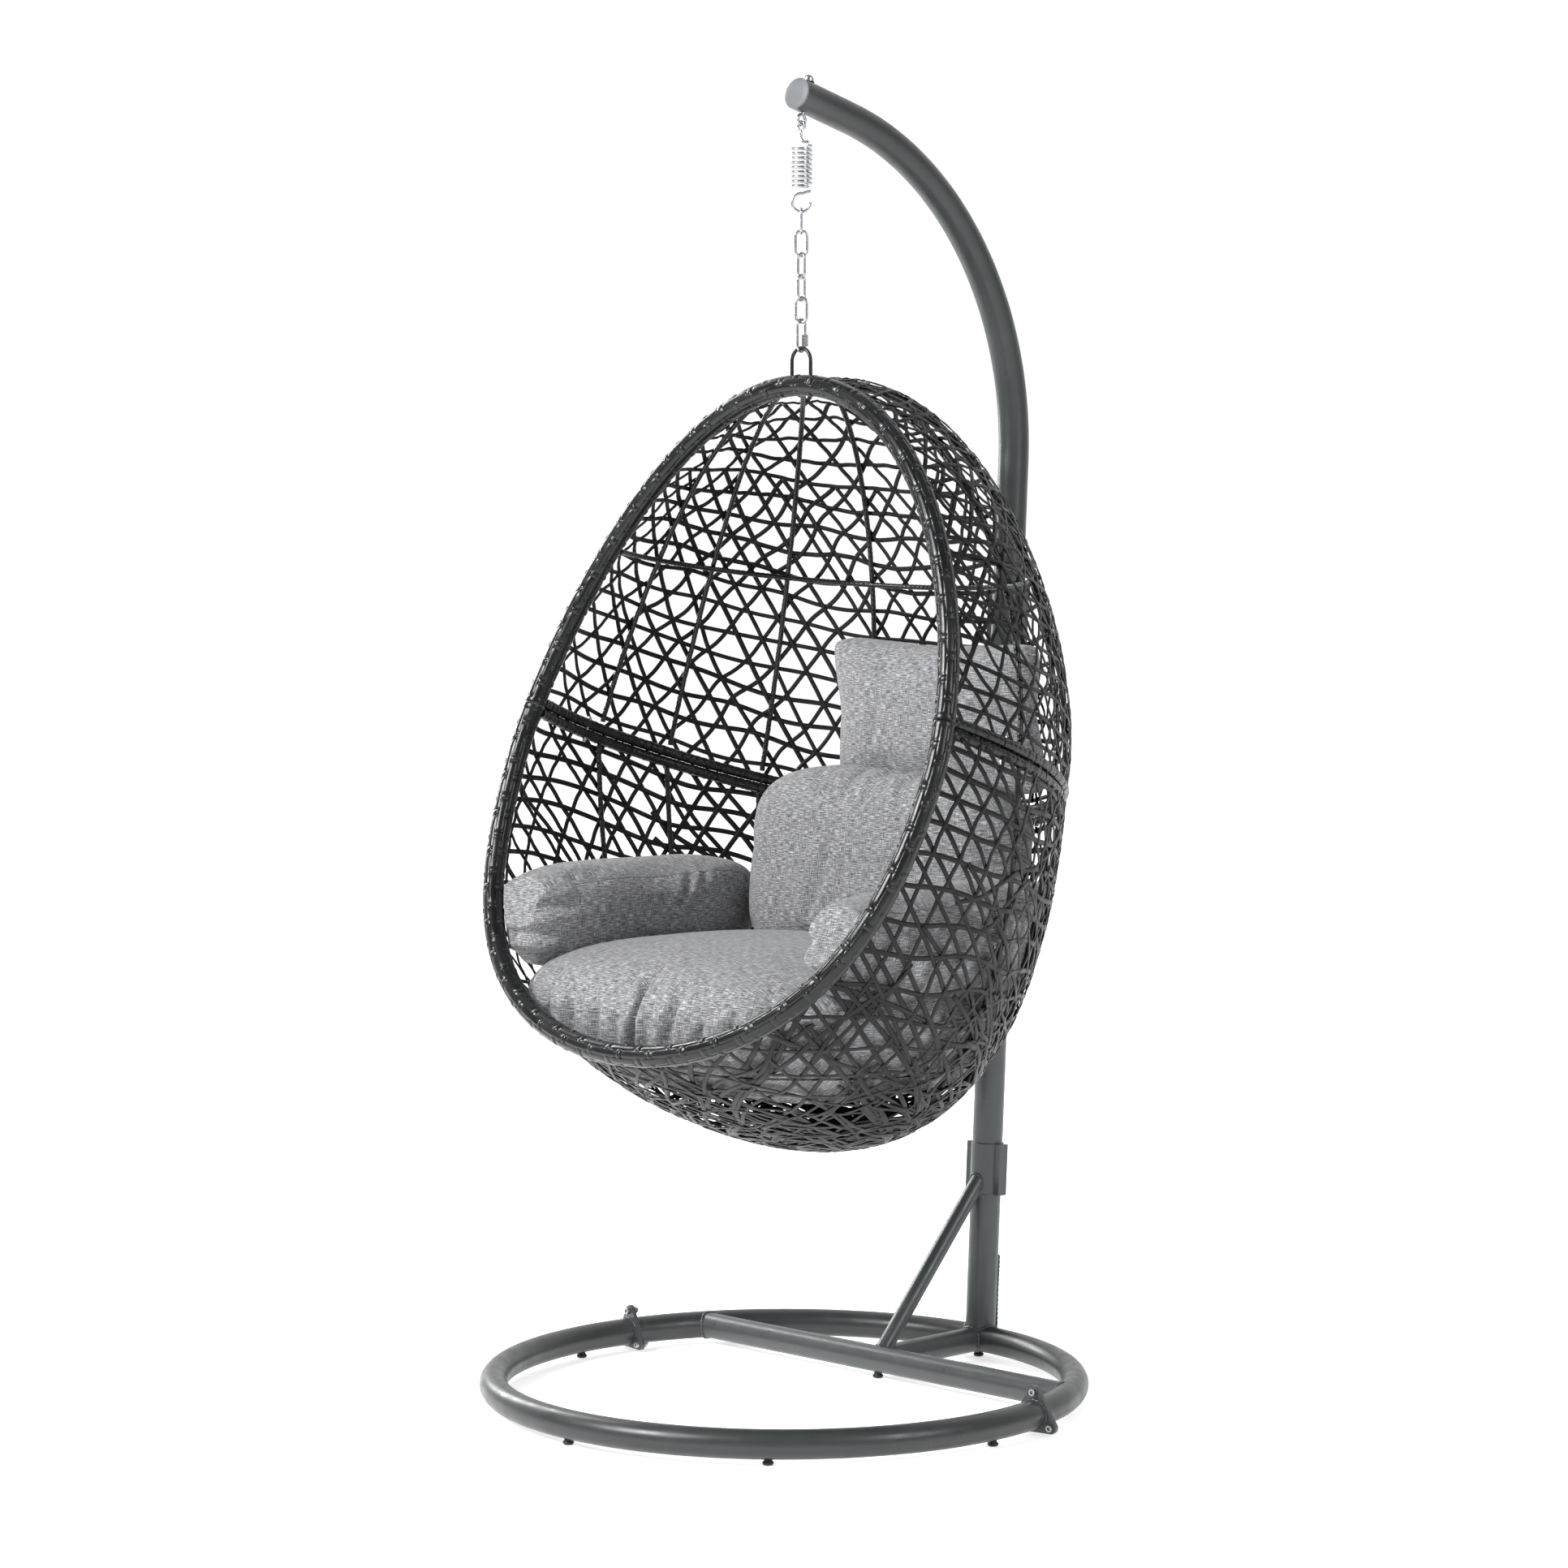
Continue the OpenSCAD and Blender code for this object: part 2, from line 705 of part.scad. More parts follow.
// Hoop in a tilted plane, on the inside of the ribs.
hoop_front_y = -32;
hoop_z = 1270;
hoop_slope = 0.15;

function plane_point(turn, z0, slope, inset) =
  let (from = [0, middle_y(z0), z0 - slope * (middle_y(z0) - hoop_front_y)])
  let (d = unit([sin(turn), cos(turn), -slope * cos(turn)]), p = from + reach(from, d) * d)
  p - inset * outward(p);

function hoop_limit(z0, slope, edge, lo = 40, hi = 178, n = 16) =
  n == 0 ? (lo + hi) / 2
  : let (m = (lo + hi) / 2, p = plane_point(m, z0, slope, 0))
    p[1] > mouth_y(p[2]) + edge ? hoop_limit(z0, slope, edge, m, hi, n - 1)
    : hoop_limit(z0, slope, edge, lo, m, n - 1);

module upper_hoop() {
  limit = hoop_limit(hoop_z, hoop_slope, rim_tube / 2 + 4);
  color(rattan)
    rod([for (i = [-16 : 16]) plane_point(limit * i / 16, hoop_z, hoop_slope, hoop_inset)], rib_tube, 6, heart);
}

// Lower ribs hang from the seam and meet under the seat.
low_pole_y = 30;
rib_end_z = egg_mid - egg_bottom + 6;

module lower_ribs() {
  from_axis = [0, low_pole_y, 620];
  color(rattan)
    for (k = [-4 : 4]) {
      top = seam_point(rib_share(k) * seam_limit, rib_inset, -bar_face - 16);
      aim = atan2(top[0], top[1] - low_pole_y);
      start = atan2(top[2] - from_axis[2], norm([top[0], top[1] - low_pole_y]));
      path = [for (i = [0 : 14])
        let (a = mix(start, -76, i / 14), d = [sin(aim) * cos(a), cos(aim) * cos(a), sin(a)])
        let (p = from_axis + reach(from_axis, d) * d)
        p - rib_inset * outward(p)];
      rod(path, rib_tube, 6, from_axis);
    }
}

low_hoop_z = 505;

module lower_hoop() {
  from = [0, middle_y(low_hoop_z), low_hoop_z];
  path = [for (i = [0 : 39])
    let (d = [sin(9 * i), cos(9 * i), 0], p = from + reach(from, d) * d)
    p - hoop_inset * outward(p)];
  color(rattan) rod(path, rib_tube, 6, from, true);
}

loop_radius = 19.5;
loop_wire = 5;
loop_top = quick_top - quick_height + (chain_wire + loop_wire) / 2 + 0.5;

module hang_loop() {
  centre_z = loop_top - loop_radius;
  foot = crown_z + rim_tube / 2 + 1;
  path = concat(
    [on_plane(0, loop_radius, foot)],
    [for (a = [0 : 15 : 180]) on_plane(0, loop_radius * cos(a), centre_z + loop_radius * sin(a))],
    [on_plane(0, -loop_radius, foot)]);
  color(rattan) rod(path, loop_wire, 10, hang + [0, 500, centre_z]);
}

// ---------- cushions ----------

// Soft rounded block: half sizes, and a power above 2 that squares it off.
module pad(centre, size, turn, power) {
  rows = 10;
  columns = 24;
  function squared(v) = sign(v) * pow(abs(v), 2 / power);
  points = [for (i = [0 : rows], k = [0 : columns - 1])
    let (lift = mix(-84, 84, i / rows), a = 360 * k / columns)
    [size[0] * squared(cos(a)) * squared(cos(lift)), size[1] * squared(sin(a)) * squared(cos(lift)),
      size[2] * squared(sin(lift))]];
  walls = [for (i = [0 : rows - 1], k = [0 : columns - 1])
    let (a = i * columns + k, b = i * columns + (k + 1) % columns)
    each [[a, a + columns, b + columns], [a, b + columns, b]]];
  ends = [[for (k = [0 : columns - 1]) k], [for (k = [0 : columns - 1]) rows * columns + columns - 1 - k]];
  translate(centre) rotate(turn) polyhedron(points, concat(walls, ends));
}

module seat_cushion() {
  color(cloth) pad([0, -5, 596], [320, 270, 76], [0, 0, 0], 2.5);
}

module back_cushion() {
  color(cloth) pad([0, 228, 812], [255, 66, 128], [-7, 0, 0], 3.4);
}

module left_bolster() {
  color(cloth) pad([-330, -45, 752], [50, 165, 68], [0, 0, 0], 2.8);
}

module right_bolster() {
  color(cloth) pad([330, -45, 752], [50, 165, 68], [0, 0, 0], 2.8);
}

module head_pillow() {
  color(cloth) pad([60, 272, 1030], [215, 52, 88], [4, 0, -6], 3.2);
}

// ---------- all together ----------

// The frame's origin is on the floor, under the middle of the whole chair's box.
box_back = bend_centre[1] + bend_radius + post_tube / 2;
box_front = -ring_radius - ring_tube / 2;

translate([0, -(box_back + box_front) / 2, foot_height]) {
  front_ring_arc();
  rear_ring_arc();
  front_flange_plates();
  rear_flange_plates();
  flange_bolts();
  flange_nuts();
  crossbar();
  spine_bar();
  strut();
  foot_caps();
  foot_screws();
  lower_post();
  lower_socket();
  middle_post();
  upper_socket();
  upper_arm();
  arm_end_cap();
  eye_bolt();
  dome_nut();
  spring_hook();
  spring_coil();
  spring_end_hook();
  chain_link(1);  // chain_link_1
  chain_link(2);  // chain_link_2
  chain_link(3);  // chain_link_3
  chain_link(4);  // chain_link_4
  chain_link(5);  // chain_link_5
  quick_link();
  quick_link_nut();
  hang_loop();
  upper_rim();
  lower_rim();
  upper_seam_bar();
  lower_seam_bar();
  seam_bolts();
  seam_nuts();
  upper_ribs();
  upper_hoop();
  lower_ribs();
  lower_hoop();
  upper_weave();
  lower_weave();
  seat_cushion();
  back_cushion();
  left_bolster();
  right_bolster();
  head_pillow();
}
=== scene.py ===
import math

import bpy
import numpy as np
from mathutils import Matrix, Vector
from mathutils.bvhtree import BVHTree


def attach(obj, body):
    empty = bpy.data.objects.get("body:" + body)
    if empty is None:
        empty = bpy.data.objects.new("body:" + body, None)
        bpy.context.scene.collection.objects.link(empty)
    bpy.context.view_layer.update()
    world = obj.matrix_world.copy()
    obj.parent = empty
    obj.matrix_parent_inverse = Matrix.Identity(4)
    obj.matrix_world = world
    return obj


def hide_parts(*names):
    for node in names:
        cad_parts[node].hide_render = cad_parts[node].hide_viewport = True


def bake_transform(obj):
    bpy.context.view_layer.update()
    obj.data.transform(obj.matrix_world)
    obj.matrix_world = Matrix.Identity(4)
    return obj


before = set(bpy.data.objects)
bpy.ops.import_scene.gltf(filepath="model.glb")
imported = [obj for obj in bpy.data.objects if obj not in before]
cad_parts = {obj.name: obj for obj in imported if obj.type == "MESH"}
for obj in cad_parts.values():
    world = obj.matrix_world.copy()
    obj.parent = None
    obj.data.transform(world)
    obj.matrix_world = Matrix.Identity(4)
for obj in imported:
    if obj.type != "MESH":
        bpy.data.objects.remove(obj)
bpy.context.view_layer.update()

# Shapes are worked out in millimetres with z = 0 at the underside of the base ring and the ring's centre
# at x = y = 0; metres() moves them into the row frame.
SHIFT = np.array([0.0, -39.142, 8.0])


def metres(points):
    return (np.asarray(points, float) + SHIFT) / 1000


# ---------------- materials


class Look:
    """A Principled material with a small helper for its nodes."""

    def __init__(self, name, colour, roughness, metallic=0.0, specular=0.5):
        self.material = bpy.data.materials.new(name)
        self.material.use_nodes = True
        self.tree = self.material.node_tree
        self.shader = self.tree.nodes["Principled BSDF"]
        self.set("Base Color", (*colour, 1))
        self.set("Roughness", roughness)
        self.set("Metallic", metallic)
        self.set("Specular IOR Level", specular)
        self.material.diffuse_color = (*colour, 1)

    def set(self, name, value):
        self.shader.inputs[name].default_value = value

    def add(self, kind, inputs=None, **settings):
        node = self.tree.nodes.new(kind)
        for key, value in settings.items():
            setattr(node, key, value)
        for key, value in (inputs or {}).items():
            if isinstance(value, bpy.types.NodeSocket):
                self.tree.links.new(value, node.inputs[key])
            else:
                node.inputs[key].default_value = value
        return node

    def join(self, output, name):
        self.tree.links.new(output, self.shader.inputs[name])

    def place(self, kind="Object", scale=(1, 1, 1)):
        source = self.add("ShaderNodeTexCoord").outputs[kind]
        return self.add("ShaderNodeMapping", {"Vector": source, "Scale": scale}).outputs[0]

    def noise(self, vector, scale, detail=2.0, roughness=0.5):
        return self.add("ShaderNodeTexNoise", {
            "Vector": vector, "Scale": scale, "Detail": detail, "Roughness": roughness}).outputs[0]

    def ramp(self, value, *stops):
        node = self.add("ShaderNodeValToRGB", {"Fac": value})
        elements = node.color_ramp.elements
        while len(elements) < len(stops):
            elements.new(0.5)
        for element, (place, colour) in zip(elements, stops):
            element.position = place
            element.color = (*colour, 1)
        return node.outputs[0]

    def grey(self, value, low, high, start=0.0, end=1.0):
        node = self.add("ShaderNodeMapRange", {
            "Value": value, "From Min": start, "From Max": end, "To Min": low, "To Max": high})
        return node.outputs[0]

    def maths(self, operation, a, b):
        return self.add("ShaderNodeMath", {0: a, 1: b}, operation=operation).outputs[0]

    def sum_of(self, *parts):
        """Values added together, each by its own share."""
        total = None
        for value, share in parts:
            part = self.maths("MULTIPLY", value, share)
            total = part if total is None else self.maths("ADD", total, part)
        return total

    def blend(self, factor, a, b):
        return self.add("ShaderNodeMixRGB", {"Fac": factor, "Color1": a, "Color2": b}).outputs[0]

    def bump(self, *layers):
        normal = None
        for height, strength, distance in layers:
            node = self.add("ShaderNodeBump", {"Height": height, "Strength": strength, "Distance": distance})
            if normal is not None:
                self.tree.links.new(normal, node.inputs["Normal"])
            normal = node.outputs[0]
        self.join(normal, "Normal")


def coated_steel(name, colour, roughness):
    look = Look(name, colour, roughness, 0.25, 0.5)
    at = look.place()
    cloud = look.noise(at, 9, 3)
    grain = look.noise(at, 1400, 2)
    edge = look.add("ShaderNodeNewGeometry").outputs["Pointiness"]
    worn = look.grey(edge, 0.0, 1.0, 0.53, 0.60)
    base = look.ramp(cloud, (0.3, [c * 0.90 for c in colour]), (0.7, [c * 1.10 for c in colour]))
    look.join(look.blend(worn, base, (*[min(1, c * 1.7) for c in colour], 1)), "Base Color")
    look.join(look.grey(look.noise(at, 40, 3), roughness - 0.06, roughness + 0.08, 0.3, 0.7), "Roughness")
    look.bump((grain, 0.16, 0.0004), (look.noise(at, 260, 1), 0.10, 0.0005))
    return look.material


def plated_steel(name, colour, roughness):
    look = Look(name, colour, roughness, 1.0)
    at = look.place()
    cloud = look.noise(at, 60, 3)
    look.join(look.ramp(cloud, (0.25, [c * 0.82 for c in colour]), (0.75, colour)), "Base Color")
    look.join(look.grey(look.noise(at, 500, 2), roughness - 0.06, roughness + 0.10, 0.3, 0.7), "Roughness")
    look.bump((look.noise(at, 1800, 1), 0.10, 0.0002))
    return look.material


def strand(name, dark, light, roughness, specular, coat):
    """Flat synthetic strand: grooves along its length, each piece with its own tone."""
    look = Look(name, light, roughness, 0.0, specular)
    along = look.place("UV", (30, 1500, 1))
    grooves = look.noise(along, 1.0, 2)
    tone = look.add("ShaderNodeAttribute", attribute_name="tone").outputs["Fac"]
    at = look.place()
    dust = look.noise(at, 35, 4)
    base = look.ramp(tone, (0.0, dark), (1.0, light))
    dusty = (*[c * 1.9 for c in light], 1)
    look.join(look.blend(look.grey(dust, 0.0, 0.22, 0.5, 0.8), base, dusty), "Base Color")
    rough = look.maths("ADD", look.grey(grooves, roughness - 0.07, roughness + 0.09, 0.3, 0.7),
                       look.grey(tone, -0.04, 0.05))
    look.join(rough, "Roughness")
    look.set("Coat Weight", coat)
    look.set("Coat Roughness", 0.22)
    look.bump((grooves, 0.35, 0.0004), (look.noise(at, 700, 1), 0.08, 0.0002))
    return look.material


def heather_cloth(name, dark, middle, light):
    """Two-tone plain weave with slubs that run sideways, by a box mapping in UV."""
    look = Look(name, middle, 0.92, 0.0, 0.2)
    slub = look.noise(look.place("UV", (75, 980, 1)), 1.0, 1.5, 0.5)
    cross = look.noise(look.place("UV", (920, 80, 1)), 1.0, 1.5, 0.5)
    patch = look.noise(look.place("UV", (18, 45, 1)), 1.0, 3, 0.6)
    mixed = look.sum_of((slub, 0.62), (cross, 0.32), (patch, 0.06))
    look.join(look.ramp(mixed, (0.37, dark), (0.50, middle), (0.64, light)), "Base Color")
    wave = {"Vector": look.place("UV"), "Scale": 260.0, "Distortion": 1.5}
    warp, weft = [look.add("ShaderNodeTexWave", wave, bands_direction=way).outputs[1] for way in "XY"]
    threads = look.sum_of((warp, 0.5), (weft, 0.5))
    look.set("Sheen Weight", 0.25)
    look.set("Sheen Roughness", 0.5)
    look.bump((mixed, 0.7, 0.0012), (threads, 0.30, 0.0005))
    return look.material


def soft_black(name):
    look = Look(name, (0.014, 0.014, 0.015), 0.55)
    at = look.place()
    tint = look.ramp(look.noise(at, 90, 3), (0.3, (0.010, 0.010, 0.011)), (0.8, (0.03, 0.03, 0.03)))
    look.join(tint, "Base Color")
    look.bump((look.noise(at, 1500, 2), 0.2, 0.0003))
    return look.material


STEEL = coated_steel("steel_slate_powder", (0.043, 0.0465, 0.047), 0.33)
CAP = coated_steel("end_cap_grey", (0.145, 0.152, 0.158), 0.55)
WELD = coated_steel("weld_slate_powder", (0.048, 0.052, 0.053), 0.32)
ZINC = plated_steel("zinc_bright", (0.46, 0.47, 0.49), 0.22)
WRAP = strand("rattan_wrapped", (0.0022, 0.0024, 0.0027), (0.010, 0.0105, 0.0115), 0.24, 0.36, 0.12)
WEAVE = strand("rattan_woven", (0.0028, 0.0028, 0.0028), (0.011, 0.011, 0.0108), 0.40, 0.26, 0.0)
CLOTH = heather_cloth("cloth_heather_grey", (0.070, 0.071, 0.077), (0.200, 0.202, 0.211), (0.56, 0.56, 0.56))
PIPING = heather_cloth("cloth_seam", (0.06, 0.06, 0.065), (0.15, 0.152, 0.16), (0.34, 0.34, 0.34))
BLACK = soft_black("rubber_black")

# ---------------- mesh building


def unit(v):
    v = np.asarray(v, float)
    return v / np.maximum(np.linalg.norm(v, axis=-1, keepdims=True), 1e-12)


def lengths(path):
    return np.concatenate([[0], np.cumsum(np.linalg.norm(np.diff(path, axis=0), axis=1))])


def resample(path, step, closed=False):
    path = np.asarray(path, float)
    if closed:
        path = np.vstack([path, path[:1]])
    s = lengths(path)
    count = max(3, int(round(s[-1] / step)) + 1)
    at = np.linspace(0, s[-1], count)
    out = np.stack([np.interp(at, s, path[:, i]) for i in range(3)], 1)
    return out[:-1] if closed else out


def path_frames(path, closed=False, outward=None):
    """Directions along a path, outward and sideways."""
    if closed:
        along = unit(np.roll(path, -1, axis=0) - np.roll(path, 1, axis=0))
    else:
        along = unit(np.gradient(path, axis=0))
    if outward is None:
        guess = np.eye(3)[np.argmin(np.abs(along[0]))]
        outward = np.zeros_like(path)
        for i in range(len(path)):
            guess = unit(guess - along[i] * (guess @ along[i]))
            outward[i] = guess
    side = unit(np.cross(along, outward))
    return along, np.cross(side, along), side


def circle(out, side, count):
    """Unit directions around the circle that two directions span."""
    turn = np.linspace(0, 2 * math.pi, count, endpoint=False)
    return np.cos(turn)[:, None] * out + np.sin(turn)[:, None] * side


def link(name, data):
    obj = bpy.data.objects.new(name, data)
    bpy.context.scene.collection.objects.link(obj)
    return obj


class Build:
    """Gathers closed swept pieces into one mesh, with a length-wise UV and a tone for each piece."""

    def __init__(self):
        self.points, self.faces, self.uvs, self.tones, self.count = [], [], [], [], 0

    def rings(self, rings, closed=False, tone=0.5):
        rings = np.asarray(rings, float)
        n, k = rings.shape[:2]
        index = self.count + np.arange(n * k).reshape(n, k)
        s = lengths(rings.mean(axis=1)) / 1000
        around = np.linalg.norm(rings[0] - np.roll(rings[0], -1, axis=0), axis=1).sum() / 1000
        across = np.arange(k + 1) / k * around
        rows = n if closed else n - 1
        beside, after = np.roll(index, -1, axis=1), np.roll(index, -1, axis=0)
        corners = index, beside, np.roll(beside, -1, axis=0), after
        self.faces.append(np.stack([c[:rows] for c in corners], -1).reshape(-1, 4))
        s_next = np.append(s[1:], s[-1] + (s[1] - s[0]))[:rows]
        u0, u1 = np.repeat(s[:rows], k), np.repeat(s_next, k)
        v0, v1 = np.tile(across[:k], rows), np.tile(across[1:], rows)
        self.uvs.append(np.stack([u0, v0, u0, v1, u1, v1, u1, v0], -1).reshape(-1, 2))
        if not closed:
            for ring, flip in ((index[0], True), (index[-1], False)):
                centre = self.count + n * k + (0 if flip else 1)
                pair = (np.roll(ring, -1), ring) if flip else (ring, np.roll(ring, -1))
                self.faces.append(np.stack([*pair, np.full(k, centre), np.full(k, centre)], -1))
                self.uvs.append(np.tile([[0, 0], [0, 0.002], [0.001, 0.001], [0.001, 0.001]], (k, 1)))
            points = np.vstack([rings.reshape(-1, 3), rings[0].mean(axis=0), rings[-1].mean(axis=0)])
        else:
            points = rings.reshape(-1, 3)
        self.points.append(points)
        flat = np.broadcast_to(np.asarray(tone, float), (n, k)).reshape(-1)
        if len(points) > len(flat):
            flat = np.append(flat, [flat[0], flat[-1]])
        self.tones.append(flat)
        self.count += len(points)

    def tube(self, path, radius, sides=16, closed=False, outward=None, tone=0.5):
        _, out, side = path_frames(path, closed, outward)
        turn = np.arange(sides) * 2 * math.pi / sides
        radius = np.asarray(radius, float)
        if radius.ndim == 0:
            radius = np.full((len(path), sides), float(radius))
        elif radius.ndim == 1:
            radius = np.repeat(radius[:, None], sides, axis=1)
        offset = np.cos(turn)[None, :, None] * out[:, None] + np.sin(turn)[None, :, None] * side[:, None]
        self.rings(path[:, None] + radius[..., None] * offset, closed, tone)

    def ribbon(self, path, outward, width, thick, tone=0.5, closed=False):
        _, out, side = path_frames(path, closed, outward)
        shape = np.array([[0.5, -0.3], [0.5, 0.3], [0.0, 0.5], [-0.5, 0.3], [-0.5, -0.3], [0.0, -0.5]])
        high, wide = shape[None, :, 0, None] * thick, shape[None, :, 1, None] * width
        ring = high * out[:, None] + wide * side[:, None]
        self.rings(path[:, None] + ring, closed, tone)

    def make(self, name, material, body, replaces, sharp):
        points = metres(np.vstack(self.points))
        quads = np.vstack(self.faces)
        uvs = np.vstack(self.uvs)
        faces = [tuple(q) if q[2] != q[3] else tuple(q[:3]) for q in quads.tolist()]
        keep = np.ones(len(quads) * 4, bool)
        keep[3::4] = quads[:, 2] != quads[:, 3]
        mesh = bpy.data.meshes.new(name)
        mesh.from_pydata(points.tolist(), [], faces)
        layer = mesh.uv_layers.new(name="UVMap")
        layer.data.foreach_set("uv", uvs[keep].astype(np.float32).ravel())
        attribute = mesh.attributes.new("tone", "FLOAT", "POINT")
        attribute.data.foreach_set("value", np.concatenate(self.tones).astype(np.float32))
        return finish_object(name, mesh, material, body, replaces, sharp)


def finish_object(name, mesh, material, body, replaces, sharp):
    mesh.materials.append(material)
    mesh.polygons.foreach_set("use_smooth", [True] * len(mesh.polygons))
    mesh.update()
    if sharp:
        mesh.set_sharp_from_angle(angle=math.radians(sharp))
    obj = link(name, mesh)
    if body:
        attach(obj, body)
    if replaces:
        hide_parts(*replaces)
    return obj


def lathe(build, base, axis, profile, sides):
    """Revolves (radius, height) pairs about an axis through a base point."""
    axis = unit(axis)
    _, out, side = path_frames(np.array([base, base + axis]))
    ring = circle(out[0], side[0], sides)
    build.rings(np.array([base + h * axis + r * ring for r, h in profile]))


# ---------------- basket surface

# The widest level of the egg, how far it goes above and below that, and its half width there.
MID_Z, TOP, BOTTOM, HALF_WIDTH = 954.8, 568.4, 593.8, 451.0
HANG_Y = 36.291


def half_width(z):
    t = z - MID_Z
    up = np.clip(t / TOP, 0, 1) ** 1.607
    down = np.clip(-t / BOTTOM, 0, 1) ** 2.494
    return HALF_WIDTH * np.sqrt(np.maximum(1 - np.where(t > 0, up, down), 1e-6))


def half_depth(z):
    t = (z - MID_Z) / 1000
    return half_width(z) * (0.9641 - 0.299 * t - np.where(t > 0, 0.1119, 0.9502) * t * t)


def middle_y(z):
    t = (z - MID_Z) / 1000
    return -27.3 + 247.7 * t + np.where(t > 0, -27.6, 697.7) * t * t


def mouth_y(z):
    t = (z - MID_Z) / 1000
    return -142.3 + 399.1 * t - 150.7 * t * t


def egg_side(p):
    """Below 0 inside the skin and above 0 outside it."""
    z = p[..., 2]
    value = (p[..., 0] / half_width(z)) ** 2 + ((p[..., 1] - middle_y(z)) / half_depth(z)) ** 2 - 1
    return np.where((z > MID_Z + TOP) | (z < MID_Z - BOTTOM), 1.0, value)


def reach(start, way):
    """Where lines from a point inside meet the skin."""
    low, high = np.full(way.shape[:-1], 10.0), np.full(way.shape[:-1], 950.0)
    for _ in range(22):
        middle = (low + high) / 2
        inside = egg_side(start + middle[..., None] * way) < 0
        low, high = np.where(inside, middle, low), np.where(inside, high, middle)
    return start + low[..., None] * way


def outward(p):
    q = p.copy()
    q[..., 2] = np.clip(q[..., 2], MID_Z - BOTTOM + 2, MID_Z + TOP - 2)
    base = egg_side(q)
    return unit(np.stack([egg_side(q + 0.5 * np.eye(3)[i]) - base for i in range(3)], -1))


# The plane of the seam leans down towards the back; HEART lies in it, inside the basket.
SEAM_SLOPE = 0.35
SEAM_BACK = unit([0, 1, -SEAM_SLOPE])
SEAM_UP = unit([0, SEAM_SLOPE, 1])
HEART = np.array([0, -12.0, 1027.5 - SEAM_SLOPE * (-12 + 118)])


def seam_height(p):
    return (p - HEART) @ SEAM_UP


def mouth_end(low, high):
    """The height, between two others, where the mouth's curve leaves the front of the egg."""
    for _ in range(40):
        middle = (low + high) / 2
        gap = mouth_y(middle) - middle_y(middle) + half_depth(middle)
        low, high = (middle, high) if gap > 0 else (low, middle)
    return (low + high) / 2


CROWN_Z = mouth_end(1100.0, MID_Z + TOP - 0.5)
LIP_Z = mouth_end(900.0, MID_Z - BOTTOM + 0.5)
CROWN = np.array([0, mouth_y(CROWN_Z), CROWN_Z])
TO_CROWN = unit(CROWN - HEART)
LOW_POLE = np.array([0, 72.0, MID_Z - BOTTOM])
TO_LOW = unit(LOW_POLE - HEART)


def skin(pole, turn, lift):
    """Points of the skin, by the turn in the seam's plane and the lift from it to a pole."""
    turn, lift = np.broadcast_arrays(turn, lift)
    level = np.sin(turn)[..., None] * np.array([1.0, 0, 0]) + np.cos(turn)[..., None] * SEAM_BACK
    return reach(HEART, unit(np.cos(lift)[..., None] * level + np.sin(lift)[..., None] * pole))


def behind_mouth(p):
    return p[..., 1] - mouth_y(p[..., 2])


# ---------------- wrapped frame of the basket


def wound(path, radius, pitch, ridge, sides, step, build, seed):
    """A rod wound with a flat strand: the radius rises and falls along a helix."""
    path = resample(path, step)
    s = lengths(path)[:, None]
    turn = np.arange(sides)[None, :] / sides
    phase = s / pitch - turn
    x = phase - np.floor(phase)
    rise = ridge * (1 - np.abs(2 * x - 1) ** 6)
    tones = np.random.default_rng(seed).random(4096)[np.floor(phase).astype(int) % 4096]
    build.tube(path, radius - ridge + rise, sides, outward=unit(path - HEART), tone=tones)


def thin_rod(path, radius, build, seed):
    wound(path, radius, 8.0, 0.6, 12, 1.6, build, seed)


def rim_curve():
    z = LIP_Z + (CROWN_Z - LIP_Z) * (1 - np.cos(np.linspace(0, math.pi, 3000))) / 2
    y = mouth_y(z)
    x = half_width(z) * np.sqrt(np.maximum(1 - ((y - middle_y(z)) / half_depth(z)) ** 2, 0))
    x[0] = x[-1] = 0
    right = np.stack([x, y, z], 1)
    left = right[::-1][1:-1] * [-1, 1, 1]
    return np.vstack([right, left])


def braided_rim(path, radius, build, seed):
    """Long flat strands side by side, each dipping under short cross wraps that are set like bricks."""
    local = np.random.default_rng(seed)
    strands, each, period = 8, 10, 62.0
    path = resample(path, 1.9)
    s = lengths(path)[:, None]
    k = np.arange(strands * each)[None, :]
    number = k // each
    across = (k % each + 0.5) / each * 2 - 1
    start = (number % 2) * 0.5 + local.random(strands)[number] * 0.18
    place = s / period + start
    brick = np.floor(place).astype(int)
    x = place - brick
    share = 0.13
    under = x < share
    wrap = 1.1 * (1 - np.abs(2 * x / share - 1) ** 6) - 0.1
    run = (x - share) / (1 - share)
    ends = 1 - np.abs(2 * run - 1) ** 8
    body = 0.5 * ends - 0.9 * (1 - ends) - 1.2 * np.abs(across) ** 6
    height = np.where(under, wrap - 0.3 * np.abs(across) ** 6, body)
    distance, end_wrap = np.minimum(s, s[-1] - s), 9
    closed_end = 0.9 - 0.8 * np.abs(2 * distance / end_wrap - 1) ** 6
    height = np.where(distance < end_wrap, closed_end, height)
    noise = local.random((strands, 4096))
    tone = noise[number, (brick * 2 + under) % 4096]
    tone = np.where(under, 0.45 + 0.55 * tone, tone * 0.85)
    build.tube(path, radius - 1.2 + height, strands * each, outward=unit(path - HEART), tone=tone)


RIM_RADIUS, JOINT_GAP = 16.5, 0.4
rim = rim_curve()


def half_rim(side):
    """The rim's points above (1) or below (-1) the seam, in order from joint to joint."""
    height = side * seam_height(rim)
    first = np.argmax((height > JOINT_GAP) & (np.roll(height, 1) <= JOINT_GAP))
    order = np.roll(np.arange(len(rim)), -int(first))
    return rim[order][height[order] > JOINT_GAP]


